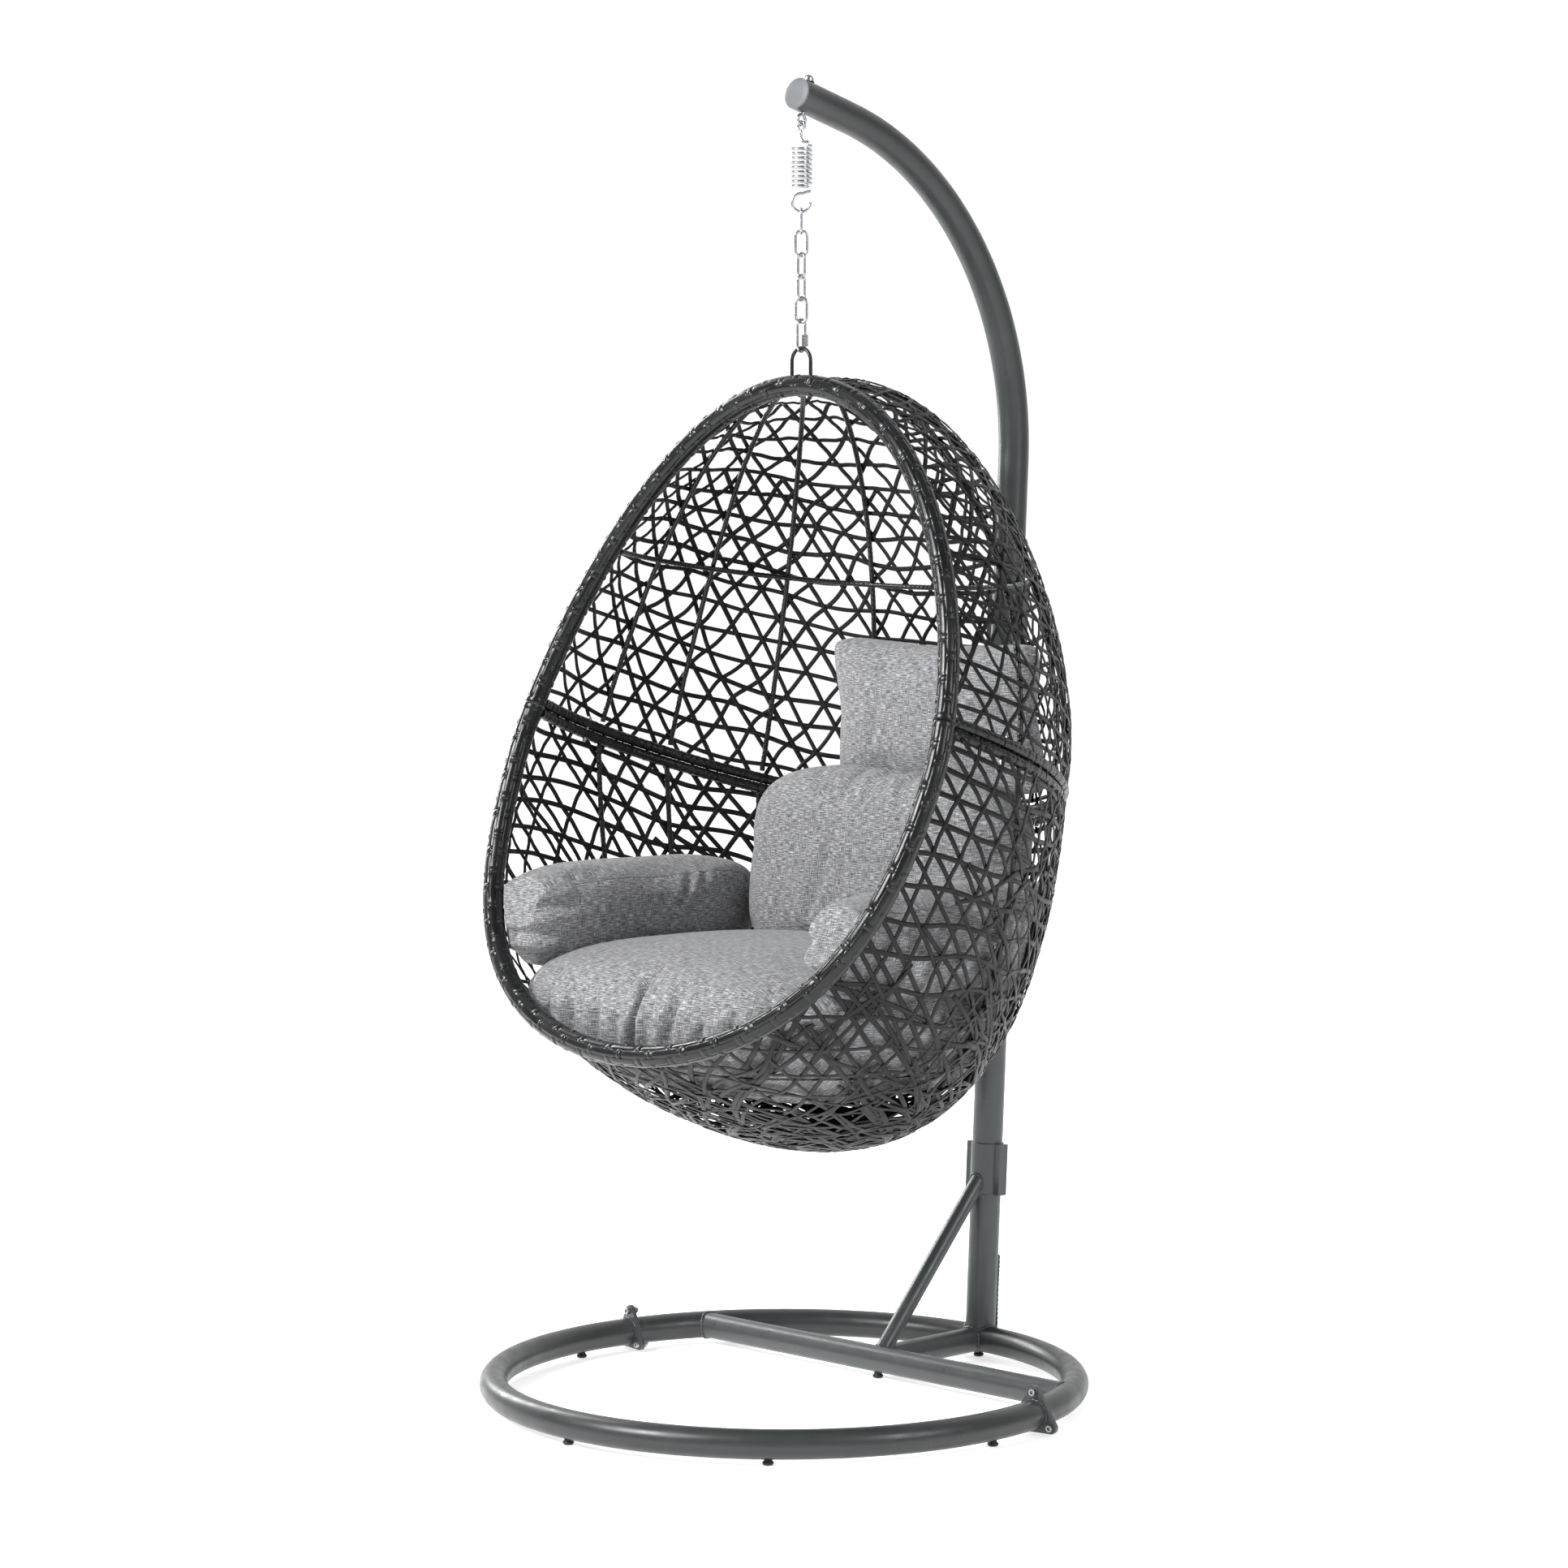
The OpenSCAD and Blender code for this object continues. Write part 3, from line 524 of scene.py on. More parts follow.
for name, side, seed in (("upper", 1, 3), ("lower", -1, 4)):
    made = Build()
    braided_rim(half_rim(side), RIM_RADIUS, made, seed)
    made.make("rim_" + name, WRAP, "egg", [name + "_rim"], 50)

SEAM_TURNS = np.linspace(-math.pi, math.pi, 1441)
seam_curve = skin(TO_CROWN, SEAM_TURNS, np.zeros_like(SEAM_TURNS))
SEAM_LIMIT = SEAM_TURNS[behind_mouth(seam_curve) > 10].max()
BAR_INSET, BAR_OFFSET, BAR_RADIUS = 7.5, 8.2, 8.1


def seam_point(turn, inset, up):
    p = skin(TO_CROWN, np.asarray(turn, float), np.zeros(np.shape(turn)))
    return p - inset * outward(p) + up * SEAM_UP


for name, up, seed in (("upper", BAR_OFFSET, 5), ("lower", -BAR_OFFSET, 6)):
    made = Build()
    bar = seam_point(np.linspace(-SEAM_LIMIT, SEAM_LIMIT, 400), BAR_INSET, up)
    wound(bar, BAR_RADIUS, 11.0, 0.9, 18, 1.9, made, seed)
    made.make("bar_" + name, WRAP, "egg", [name + "_seam_bar"], 50)

RIB_INSET, RIB_RADIUS = 7.4, 4.1
HOOP_INSET, HOOP_RADIUS = 14.5, 4.0
RIB_SHARES = np.sin(np.radians(13.5 * np.arange(-4, 5)))


def last_turn(lifts):
    """For each lift of the upper half, the last turn that is still behind the mouth."""
    turns = np.linspace(0.2, math.pi, 900)
    inside = behind_mouth(skin(TO_CROWN, turns[None, :], lifts[:, None])) > 0
    return turns[np.argmin(inside, axis=1) - 1]


made = Build()
lifts = np.radians(np.linspace(math.degrees(math.asin(20 / 440)), 86, 60))
limits = last_turn(lifts)
for number, share in enumerate(RIB_SHARES):
    p = skin(TO_CROWN, share * limits, lifts)
    thin_rod(p - RIB_INSET * outward(p), RIB_RADIUS, made, 20 + number)
made.make("ribs_upper", WRAP, "egg", ["upper_ribs"], 0)


# The lower ribs fan out from a point low in the basket.
FAN = np.array([0, 30.0, 620.0])
made = Build()
for number, share in enumerate(RIB_SHARES):
    turn = np.array([share * SEAM_LIMIT])
    top = seam_point(turn, RIB_INSET, -24)[0]
    aim = math.atan2(top[0], top[1] - FAN[1])
    start = math.atan2(top[2] - FAN[2], math.hypot(top[0], top[1] - FAN[1]))
    lift = np.linspace(start, math.radians(-76), 60)
    p = reach(FAN, np.stack([math.sin(aim) * np.cos(lift), math.cos(aim) * np.cos(lift), np.sin(lift)], -1))
    p = np.vstack([seam_point(turn, RIB_INSET, -16), p - RIB_INSET * outward(p)])
    thin_rod(p, RIB_RADIUS, made, 40 + number)
made.make("ribs_lower", WRAP, "egg", ["lower_ribs"], 0)

# The upper hoop leans back a little and stops at the mouth; the lower one is level and closes on itself.
turns = np.linspace(-math.pi, math.pi, 721)
for name, hoop_z, slope, seed in (("upper", 1270.0, 0.15, 60), ("lower", 505.0, 0.0, 61)):
    made = Build()
    hoop_y = float(middle_y(np.array(hoop_z)))
    hoop_from = np.array([0, hoop_y, hoop_z - slope * (hoop_y + 32)])
    p = reach(hoop_from, unit(np.stack([np.sin(turns), np.cos(turns), -slope * np.cos(turns)], -1)))
    p = p[behind_mouth(p) > 6]
    thin_rod(p - HOOP_INSET * outward(p), HOOP_RADIUS, made, seed)
    made.make("hoop_" + name, WRAP, "egg", [name + "_hoop"], 0)

# ---------------- woven strips


STRIP_STEP = 6.5
CROSS_LIFT = 1.15


def bump_at(phase):
    return (0.5 + 0.5 * np.cos(2 * math.pi * phase)) ** 2


class Half:
    """One half of the basket, with a height along the surface and a turn about its pole."""

    def __init__(self, pole, top_lift, spacing, lean, seed, first):
        self.pole, self.first = pole, first
        self.random = np.random.default_rng(seed)
        self.lifts = np.radians(np.linspace(0, top_lift, 240))
        meridian = skin(pole, np.full(240, math.radians(55)), self.lifts)
        self.heights = lengths(meridian)
        nudged = skin(pole, np.full(240, math.radians(55) + 0.01), self.lifts)
        self.scale = np.linalg.norm(nudged - meridian, axis=1) / 0.01
        self.span = self.heights[-1]
        self.number = int(round(2 * math.pi * self.scale[0] / spacing))
        self.gap = 2 * math.pi / self.number
        eased = np.maximum(self.scale, 0.42 * self.scale.max())
        self.drift = np.concatenate([[0], np.cumsum(np.diff(self.heights) / eased[1:])]) / math.tan(lean)
        self.row_gap = spacing * 0.5 * math.tan(lean) * 1.02
        self.waves = [(self.random.uniform(0.5, 2.2) * 2 * math.pi, self.random.uniform(4, 16),
                       self.random.uniform(0, 2 * math.pi), self.random.uniform(0.5, 1.0)) for _ in range(7)]

    def sway(self, turn, height, shift):
        total = 0
        for number, (a, b, c, d) in enumerate(self.waves):
            total = total + d * np.sin(a * height / 260 + round(b) * turn + c + shift + number)
        return total

    def place(self, turn, height, offset):
        """Points on the skin; the whole pattern sways a little so that no cell is quite like the next."""
        lift = np.interp(height + 2.4 * self.sway(turn, height, 0.0), self.heights, self.lifts)
        scale = np.interp(height, self.heights, np.maximum(self.scale, 60))
        p = skin(self.pole, turn + 2.0 * self.sway(turn, height, 1.7) / scale, lift)
        normal = outward(p)
        return p + (offset - 1.6)[:, None] * normal, normal

    def strip(self, build, turn, height, offset, width, thick, tone):
        """Adds the parts of a strip that are behind the mouth and at least 25 mm long."""
        p, normal = self.place(turn, height, offset)
        inside = behind_mouth(p) > 0
        runs = np.split(np.arange(len(p)), np.where(np.diff(inside.astype(int)) != 0)[0] + 1)
        for run in runs:
            if len(run) < 4 or not inside[run[0]]:
                continue
            if lengths(p[run])[-1] >= 25:
                build.ribbon(p[run], normal[run], width, thick, tone)

    def weave(self, build, width, thick):
        """Strips that lean both ways and rows across them; some stop where the egg gets narrow."""
        random = self.random
        fine = np.arange(self.first, self.span, STRIP_STEP)
        fade = np.clip((fine - self.first) / 18, 0, 1)
        drift = np.interp(fine, self.heights, self.drift)
        crowd = np.interp(fine, self.heights, self.scale) / self.scale[0]
        for sign in (1, -1):
            for number in range(self.number):
                reach_to = crowd >= (0.30, 0.60, 0.0, 0.60)[number % 4]
                if reach_to.sum() < 5:
                    continue
                if not reach_to.all():
                    level = math.floor((fine[reach_to][-1] - self.first) / self.row_gap - 0.6)
                    reach_to &= fine <= self.first + (level + 0.6) * self.row_gap + 3
                start = number * self.gap
                wander = random.normal(0, 0.10) * self.gap
                turn = start + sign * drift
                cross = (start + 2 * sign * drift) / self.gap
                row = (fine - self.first) / self.row_gap
                offset = CROSS_LIFT * sign * (bump_at(cross) - bump_at(row)) * fade
                slow = 0.10 * self.gap * np.sin(fine / random.uniform(60, 140) + random.uniform(0, 6))
                turn = np.unwrap((turn + wander + slow + math.pi) % (2 * math.pi) - math.pi)
                self.strip(build, turn[reach_to], fine[reach_to], offset[reach_to],
                           width * random.uniform(0.9, 1.1), thick, random.random())
        rows = np.arange(self.first + self.row_gap * 0.6, self.span - 12, self.row_gap)
        for height in rows:
            scale = max(np.interp(height, self.heights, self.scale), 30)
            count = max(16, int(2 * math.pi * scale / STRIP_STEP))
            turn = np.linspace(-math.pi, math.pi, count)
            wobble = 1.8 * np.sin(turn * random.integers(3, 7) + random.uniform(0, 6))
            drift_here = np.interp(height, self.heights, self.drift)
            over, under = bump_at((turn - drift_here) / self.gap), bump_at((turn + drift_here) / self.gap)
            self.strip(build, turn, height + wobble, CROSS_LIFT * (over - under),
                       width * random.uniform(0.9, 1.1), thick, random.random())

    def extra(self, build, number, low, high, width, thick):
        """Added strips that run at their own slant, mostly near the pole."""
        random = self.random
        for _ in range(number):
            middle = self.span * random.uniform(low, high)
            half = random.uniform(110, 230)
            slant = random.choice([-1, 1]) * random.uniform(0.12, 1.1)
            along = np.arange(-half, half, STRIP_STEP)
            height = middle + along * math.sin(slant)
            keep = (height > self.first + 4) & (height < self.span - 6)
            along, height = along[keep], height[keep]
            if len(along) < 8:
                continue
            scale = np.maximum(np.interp(height, self.heights, self.scale), 70)
            step = np.concatenate([[0], np.diff(along)]) * math.cos(slant) / scale
            turn = random.uniform(-math.pi, math.pi) + np.cumsum(step)
            offset = 1.5 * np.sin(along / random.uniform(11, 17) + random.uniform(0, 6))
            turn = np.unwrap((turn + math.pi) % (2 * math.pi) - math.pi)
            self.strip(build, turn, height, offset,
                       width * random.uniform(0.85, 1.15), thick, random.random())


made = Build()
upper = Half(TO_CROWN, 88.5, 54.0, math.radians(55), 101, 7.0)
upper.weave(made, 7.2, 1.5)
made.make("weave_upper", WEAVE, "egg", ["upper_weave"], 0)

made = Build()
lower = Half(TO_LOW, 89.0, 49.0, math.radians(55), 202, 7.0)
lower.weave(made, 7.6, 1.5)
lower.extra(made, 34, 0.18, 0.6, 7.2, 1.5)
lower.extra(made, 230, 0.55, 1.0, 7.8, 1.5)
made.make("weave_lower", WEAVE, "egg", ["lower_weave"], 0)

# Short loops that tie the strips to the seam bars.
for name, up, half in (("ties_upper", BAR_OFFSET, upper), ("ties_lower", -BAR_OFFSET, lower)):
    made = Build()
    random = np.random.default_rng(300 + int(up))
    for turn in np.arange(-SEAM_LIMIT + 0.04, SEAM_LIMIT - 0.03, half.gap / 2):
        here = turn + random.normal(0, 0.006)
        a, centre, b = seam_point(np.array([here - 0.004, here, here + 0.004]), BAR_INSET, up)
        along = unit(b - a + random.normal(0, 0.35, 3) * np.linalg.norm(b - a))
        side = unit(np.cross(along, SEAM_UP))
        way = circle(side, np.cross(side, along), 14)
        made.ribbon(centre + 7.9 * way, way, 5.8, 1.1, random.random(), True)
    made.make(name, WEAVE, "egg", (), 0)

# ---------------- hanging line


def on_plane(turn, u, z):
    """Points at a height z and a distance u from the hanging line, in an upright plane turned about it."""
    turn = math.radians(turn)
    u, z = np.broadcast_arrays(np.asarray(u, float), np.asarray(z, float))
    return np.stack([u * math.cos(turn), HANG_Y + u * math.sin(turn), z], -1)


def arc(turn, radius, centre_z, start, end, count):
    a = np.radians(np.linspace(start, end, count))
    return on_plane(turn, radius * np.cos(a), centre_z + radius * np.sin(a))


HOOK_TOP, COIL_TOP, COIL_BOTTOM, COIL_RADIUS = 1898.089, 1862.6, 1801.0, 14.5
END_HOOK_BOTTOM, END_HOOK_RADIUS = 1765.4, 13.5
FIRST_LINK, LINK_DROP, LINK_HEIGHT = 1769.9, 32.7, 37.2
QUICK_TOP, QUICK_HEIGHT = 1606.4, 47.3
LOOP_TOP, LOOP_RADIUS = 1564.1, 19.5
WIRE, COIL_WIRE, LOOP_WIRE, COIL_TURNS = 2.0, 1.9, 2.75, 9

made = Build()
ring = arc(0, 7, HOOK_TOP - 7, -40, 262, 40)
stem = on_plane(0, [-0.3, 0.4, 3, 8, 13.6], COIL_TOP + np.array([13, 9, 5.9, 4.9, 4.8]))
made.tube(resample(np.vstack([ring, stem]), 1.0), WIRE, 14)
made.make("hook_upper", ZINC, "spring_top", ["spring_hook"], 60)

made = Build()
turns = np.linspace(0, COIL_TURNS * 2 * math.pi, COIL_TURNS * 40)
coil = np.stack([COIL_RADIUS * np.cos(turns), HANG_Y + COIL_RADIUS * np.sin(turns),
                 COIL_TOP + (COIL_BOTTOM - COIL_TOP) * (turns / turns[-1])], -1)
made.tube(coil, COIL_WIRE, 12)
coil_piece = made.make("coil", ZINC, None, ["spring_coil"], 60)
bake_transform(coil_piece)

made = Build()
centre_z = END_HOOK_BOTTOM + END_HOOK_RADIUS
lead = on_plane(45, [14.0, 9, 5], centre_z + np.array([16.8, 15.9, 14.4]))
path = resample(np.vstack([lead, arc(45, END_HOOK_RADIUS, centre_z, 82, 361, 60)]), 1.0)
s = lengths(path)
made.tube(path, WIRE + 0.5 * np.exp(-((s - s[-1]) / 2.2) ** 2), 14)
made.make("hook_lower", ZINC, "spring_low", ["spring_end_hook"], 60)


def oval(top, height, radius, turn):
    low = top - height + radius
    ends = [arc(turn, radius, top - radius, 0, 180, 24), arc(turn, radius, low, 180, 360, 24)]
    return resample(np.vstack(ends), 1.0, True)


for number, turn in enumerate([135, 45, -10, 100, 25]):
    made = Build()
    path = oval(FIRST_LINK - number * LINK_DROP, LINK_HEIGHT, 8.5, turn)
    s = lengths(path)
    made.tube(path, WIRE + 0.28 * np.exp(-((s - s[-1] * 0.25) / 1.6) ** 2), 14, True)
    body = "chain" if number else "spring_low"
    made.make(f"link_{number + 1}", ZINC, body, [f"chain_link_{number + 1}"], 60)

made = Build()
made.tube(oval(QUICK_TOP, QUICK_HEIGHT, 8, 90), WIRE, 14, True)
low = on_plane(90, 8, QUICK_TOP - 31 - 16).ravel()
for offset in np.arange(9.6, 15.2, 0.9):  # the thread, one low ridge at a time
    made.tube(np.array([low + [0, 0, offset - 0.25], low + [0, 0, offset + 0.25]]), 2.25, 14)
made.make("snap_link", ZINC, "quick_link", ["quick_link"], 60)

made = Build()
foot = CROWN_Z + 8
a = np.radians(np.linspace(0, 180, 40))
path = np.vstack([on_plane(0, LOOP_RADIUS, foot), on_plane(0, LOOP_RADIUS, foot + 8),
                  on_plane(0, LOOP_RADIUS * np.cos(a), LOOP_TOP - LOOP_RADIUS + LOOP_RADIUS * np.sin(a)),
                  on_plane(0, -LOOP_RADIUS, foot + 8), on_plane(0, -LOOP_RADIUS, foot)])
made.tube(resample(path, 1.2), LOOP_WIRE, 16, tone=0.6)
made.make("loop", WRAP, "egg", ["hang_loop"], 60)

# ---------------- stand

RING_RADIUS, RING_TUBE, RING_Z, CROSS_Y = 435.6, 42.4, 21.2, 205.0
LEAN = 0.0519
POST_TUBE = 47.6


def post_at(z):
    return np.array([0, 437.8 + LEAN * z, z])


LEAN_ANGLE = math.atan(LEAN)
BEND_RADIUS, BEND_TURN, TAIL = 497.2, math.radians(78.5), 113.4
bend_from = post_at(1403)
bend_centre = bend_from + BEND_RADIUS * np.array([0, -math.cos(LEAN_ANGLE), math.sin(LEAN_ANGLE)])
tip_angle = BEND_TURN - LEAN_ANGLE
TIP_BACK = np.array([0, math.sin(tip_angle), -math.cos(tip_angle)])
TIP_UP = np.array([0, math.cos(tip_angle), math.sin(tip_angle)])
bend_to = bend_centre + BEND_RADIUS * TIP_UP
ARM_TIP = bend_to - TAIL * TIP_BACK

made = Build()
a = np.linspace(-LEAN_ANGLE, BEND_TURN - LEAN_ANGLE, 90)
bent = bend_centre + BEND_RADIUS * np.stack([0 * a, np.cos(a), np.sin(a)], -1)
arm_path = np.vstack([post_at(1148.4), post_at(1300), bent, bend_to - 40 * TIP_BACK, ARM_TIP])
made.tube(arm_path, POST_TUBE / 2, 64)
made.make("arm", STEEL, "stand", ["upper_arm"], 40)

made = Build()
lathe(made, ARM_TIP - 0.2 * TIP_BACK, -TIP_BACK,
      [(21.5, -3), (23.75, -1.0), (23.8, 1.6), (23.2, 2.6), (22.0, 3.1), (10, 3.3), (0.5, 3.35)], 48)
made.make("arm_cap", CAP, "stand", ["arm_end_cap"], 30)

made = Build()
foot_angles = np.radians([-2, -48, -90, -132, -178, 90])
spots = [(RING_RADIUS * math.cos(a), RING_RADIUS * math.sin(a), 0.0) for a in foot_angles]
spots.append((0.0, CROSS_Y, 1.2))
for x, y, z in spots:
    base = np.array([x, y, -8.0])
    dome = [(0.5, 0.0), (5.6, 0.0), (6.8, 0.5), (8.0, 2.2), (8.1, 3.6), (7.4, 4.9), (6.4, 5.6)]
    lathe(made, base, [0, 0, 1], dome + [(6.0, 6.2), (5.8, 7.9 + z), (0.5, 7.9 + z)], 28)
made.make("feet", BLACK, "stand", ["foot_caps"], 45)


def meeting(start, way, radius, inside, far):
    """Curve where a round bar meets another shape: for each line of the bar, the first point inside it."""
    way, lines = unit(way), 56
    _, out, side = path_frames(np.array([start, start + way]))
    base = start + radius * circle(out[0], side[0], lines)
    p = base[:, None] + np.linspace(0, far, 600)[None, :, None] * way
    return p[np.arange(lines), np.argmax(inside(p), axis=1)]


def in_ring(p):
    flat = np.hypot(p[..., 0], p[..., 1]) - RING_RADIUS
    return np.hypot(flat, p[..., 2] - RING_Z) < RING_TUBE / 2


def in_bar(a, b, radius):
    def test(p):
        d = b - a
        t = np.clip(((p - a) @ d) / (d @ d), 0, 1)
        return np.linalg.norm(p - (a + t[..., None] * d), axis=-1) < radius
    return test


def weld(build, path, size, seed):
    """A bead of overlapping ripples along a closed curve."""
    local = np.random.default_rng(seed)
    path = resample(path, 0.8, True)
    s = lengths(path)
    ripple = 0.80 + 0.22 * np.abs(np.sin(s / 2.4 + 0.5 * np.sin(s / 9)))
    ripple += 0.10 * np.sin(s / 17 + local.uniform(0, 6))
    build.tube(path, size * ripple, 10, True)


CROSS_RADIUS, SPINE_RADIUS, STRUT_RADIUS, SOCKET_RADIUS = 20.0, 19.5, 12.5, 25.4
middle = np.array([0, CROSS_Y, RING_Z])
spine = np.array([0, RING_RADIUS, RING_Z - 0.5])
strut_to = post_at(293)
strut_half = (middle + strut_to) / 2
in_cross = in_bar(middle - [60, 0, 0], middle + [60, 0, 0], CROSS_RADIUS)
in_post = in_bar(post_at(200), post_at(400), SOCKET_RADIUS)
in_spine = in_bar(middle, spine, SPINE_RADIUS)


def in_base(p):
    return in_ring(p) | in_spine(p)


made = Build()
for start, way, radius, inside, far, size, seed in (
        (middle - [250, 0, 0], [-1, 0, 0], CROSS_RADIUS, in_ring, 180, 2.6, 69),
        (middle + [250, 0, 0], [1, 0, 0], CROSS_RADIUS, in_ring, 180, 2.6, 71),
        (spine - [0, 130, 0], [0, 1, 0], SPINE_RADIUS, in_ring, 130, 2.8, 73),
        (middle + [0, 80, -0.5], [0, -1, 0], SPINE_RADIUS, in_cross, 80, 2.6, 74),
        (strut_half, middle - strut_to, STRUT_RADIUS, in_cross, 200, 2.4, 75),
        (strut_half, strut_to - middle, STRUT_RADIUS, in_post, 200, 2.4, 76),
        (post_at(150), post_at(0) - post_at(150), POST_TUBE / 2, in_base, 140, 3.2, 77)):
    weld(made, meeting(start, way, radius, inside, far), size, seed)
for flange in (-1, 1):
    for way in (-1, 1):
        turn = math.radians(11.0) + way * 3.4 / RING_RADIUS
        radial = np.array([flange * math.cos(turn), math.sin(turn), 0])
        centre = RING_RADIUS * radial + [0, 0, RING_Z]
        weld(made, centre + 21.4 * circle(radial, np.array([0, 0, 1.0]), 48), 1.9, 80 + flange + way)
across = np.array([1.0, 0, 0])
for z in (250.5, 329.5, 1092.5, 1203.5):
    ring = circle(across, np.cross(unit([0, LEAN, 1]), across), 60)
    weld(made, post_at(z) + 24.4 * ring, 1.3, int(z))
made.make("weld_beads", WELD, "stand", (), 60)

# ---------------- cushions


def squared(v, power):
    """Pushes a sine or cosine towards its ends, so that a round shape gets squarer."""
    return np.sign(v) * np.abs(v) ** (2 / power)


def soft_mesh(name, size, power, voxel):
    """Superellipsoid, remeshed evenly."""
    rows, columns = 40, 96
    lift = np.radians(np.linspace(-90, 90, rows))[1:-1, None]
    turn = np.arange(columns)[None, :] * 2 * math.pi / columns
    level = squared(np.cos(lift), power)
    made = Build()
    made.rings(np.stack([size[0] * squared(np.cos(turn), power) * level,
                         size[1] * squared(np.sin(turn), power) * level,
                         size[2] * squared(np.sin(lift), power) * np.ones(columns)], -1))
    points = made.points[0]
    points[-2], points[-1] = [0, 0, -size[2]], [0, 0, size[2]]
    faces = [tuple(dict.fromkeys(q)) for q in np.vstack(made.faces).tolist()]
    mesh = bpy.data.meshes.new(name)
    mesh.from_pydata((points / 1000).tolist(), [], faces)
    obj = link(name, mesh)
    modifier = obj.modifiers.new("even", "REMESH")
    modifier.mode = "VOXEL"
    modifier.voxel_size = voxel
    freeze(obj)
    return obj


def freeze(obj):
    """Replaces the mesh by what its modifiers make of it."""
    bpy.context.view_layer.update()
    result = bpy.data.meshes.new_from_object(obj.evaluated_get(bpy.context.evaluated_depsgraph_get()))
    old = obj.data
    obj.modifiers.clear()
    obj.data = result
    bpy.data.meshes.remove(old)


def read(items, key, width=3, kind=np.float32):
    """One property of every vertex, corner or face."""
    data = np.empty(len(items) * width, kind)
    items.foreach_get(key, data)
    return data if width == 1 else data.reshape(-1, width).astype(float)


def coords(mesh):
    return read(mesh.vertices, "co")


def put(mesh, points):
    mesh.vertices.foreach_set("co", np.asarray(points, np.float32).ravel())
    mesh.update()


CLOTH_PRESSURE, CLOTH_GROWTH, CLOTH_FRAMES = 4.0, 0.04, 20


def puff(obj, most):
    """A short cloth run under air pressure; no point moves farther than most."""
    before = coords(obj.data)
    modifier = obj.modifiers.new("cloth", "CLOTH")
    settings = modifier.settings
    settings.quality = 4
    settings.mass = 0.35
    settings.tension_stiffness = settings.compression_stiffness = 12
    settings.shear_stiffness = 6
    settings.bending_stiffness = 0.35
    settings.air_damping = 2.0
    settings.shrink_min = -CLOTH_GROWTH
    settings.use_pressure = True
    settings.uniform_pressure_force = CLOTH_PRESSURE
    settings.effector_weights.gravity = 0
    modifier.point_cache.frame_start, modifier.point_cache.frame_end = 1, CLOTH_FRAMES
    for number in range(1, CLOTH_FRAMES + 1):
        bpy.context.scene.frame_set(number)
    freeze(obj)
    bpy.context.scene.frame_set(1)
    move = coords(obj.data) - before
    size = np.linalg.norm(move, axis=1, keepdims=True)
    put(obj.data, before + move * np.minimum(1, most / np.maximum(size, 1e-9)))


def creases(p, folds):
    """How far folds sink and raise each point. A fold runs along one axis from low to high, at a place on
    another that shifts with its slant, and has a depth and a half width."""
    moved = np.zeros(len(p))
    for across, along, place, slant, depth, width, low, high in folds:
        x = p[:, across] - place - slant * (p[:, along] - (low + high) / 2)
        t = (p[:, along] - low) / (high - low)
        window = np.clip(t / 0.25, 0, 1) * np.clip((1 - t) / 0.25, 0, 1)
        window = window * window * (3 - 2 * window)
        moved += -depth * np.exp(-(x / width) ** 2) * window
        moved += 0.55 * depth * np.exp(-((np.abs(x) - 2.3 * width) / (1.3 * width)) ** 2) * window
    return moved


RIM_POINTS = rim[::16]


def settle(p):
    """Holds a cushion inside the woven skin and clear of the rim."""
    for _ in range(4):
        value = egg_side(p)
        slope = np.stack([egg_side(p + 0.5 * np.eye(3)[i]) - value for i in range(3)], -1) / 0.5
        size = np.maximum(np.linalg.norm(slope, axis=1), 1e-4)
        past = np.clip(value / size + 12.5, 0, 40)
        past = np.where(value > -0.5, past, 0)
        p = p - past[:, None] * slope / size[:, None]
    p[:, 1] += np.clip(4 - behind_mouth(p), 0, 90)
    near = np.where(behind_mouth(p) < 60)[0]
    for part in np.array_split(near, max(1, len(near) // 4000)):
        if len(part) == 0:
            continue
        away = p[part][:, None] - RIM_POINTS[None]
        distance = np.linalg.norm(away, axis=2)
        nearest = distance.argmin(axis=1)
        best = distance[np.arange(len(part)), nearest]
        push = np.clip(18.5 - best, 0, 40)
        p[part] += push[:, None] * away[np.arange(len(part)), nearest] / np.maximum(best, 1e-6)[:, None]
    return p


def box_uv(mesh):
    """UV by the side a face looks to, so that the cloth's slubs run sideways everywhere."""
    layer = mesh.uv_layers.get("UVMap") or mesh.uv_layers.new(name="UVMap")
    total = read(mesh.polygons, "loop_total", 1, np.int32)
    main = np.repeat(np.argmax(np.abs(read(mesh.polygons, "normal")), axis=1), total)
    q = coords(mesh)[read(mesh.loops, "vertex_index", 1, np.int32)]
    u = np.where(main == 0, q[:, 1], q[:, 0])
    v = np.where(main == 2, q[:, 1], q[:, 2])
    layer.data.foreach_set("uv", np.stack([u, v], -1).astype(np.float32).ravel())


def rotation(lean, yaw):
    """Turns about X first and then about Z."""
    x, z = np.radians([lean, yaw])
    rx = np.array([[1, 0, 0], [0, math.cos(x), -math.sin(x)], [0, math.sin(x), math.cos(x)]])
    rz = np.array([[math.cos(z), -math.sin(z), 0], [math.sin(z), math.cos(z), 0], [0, 0, 1]])
    return rz @ rx


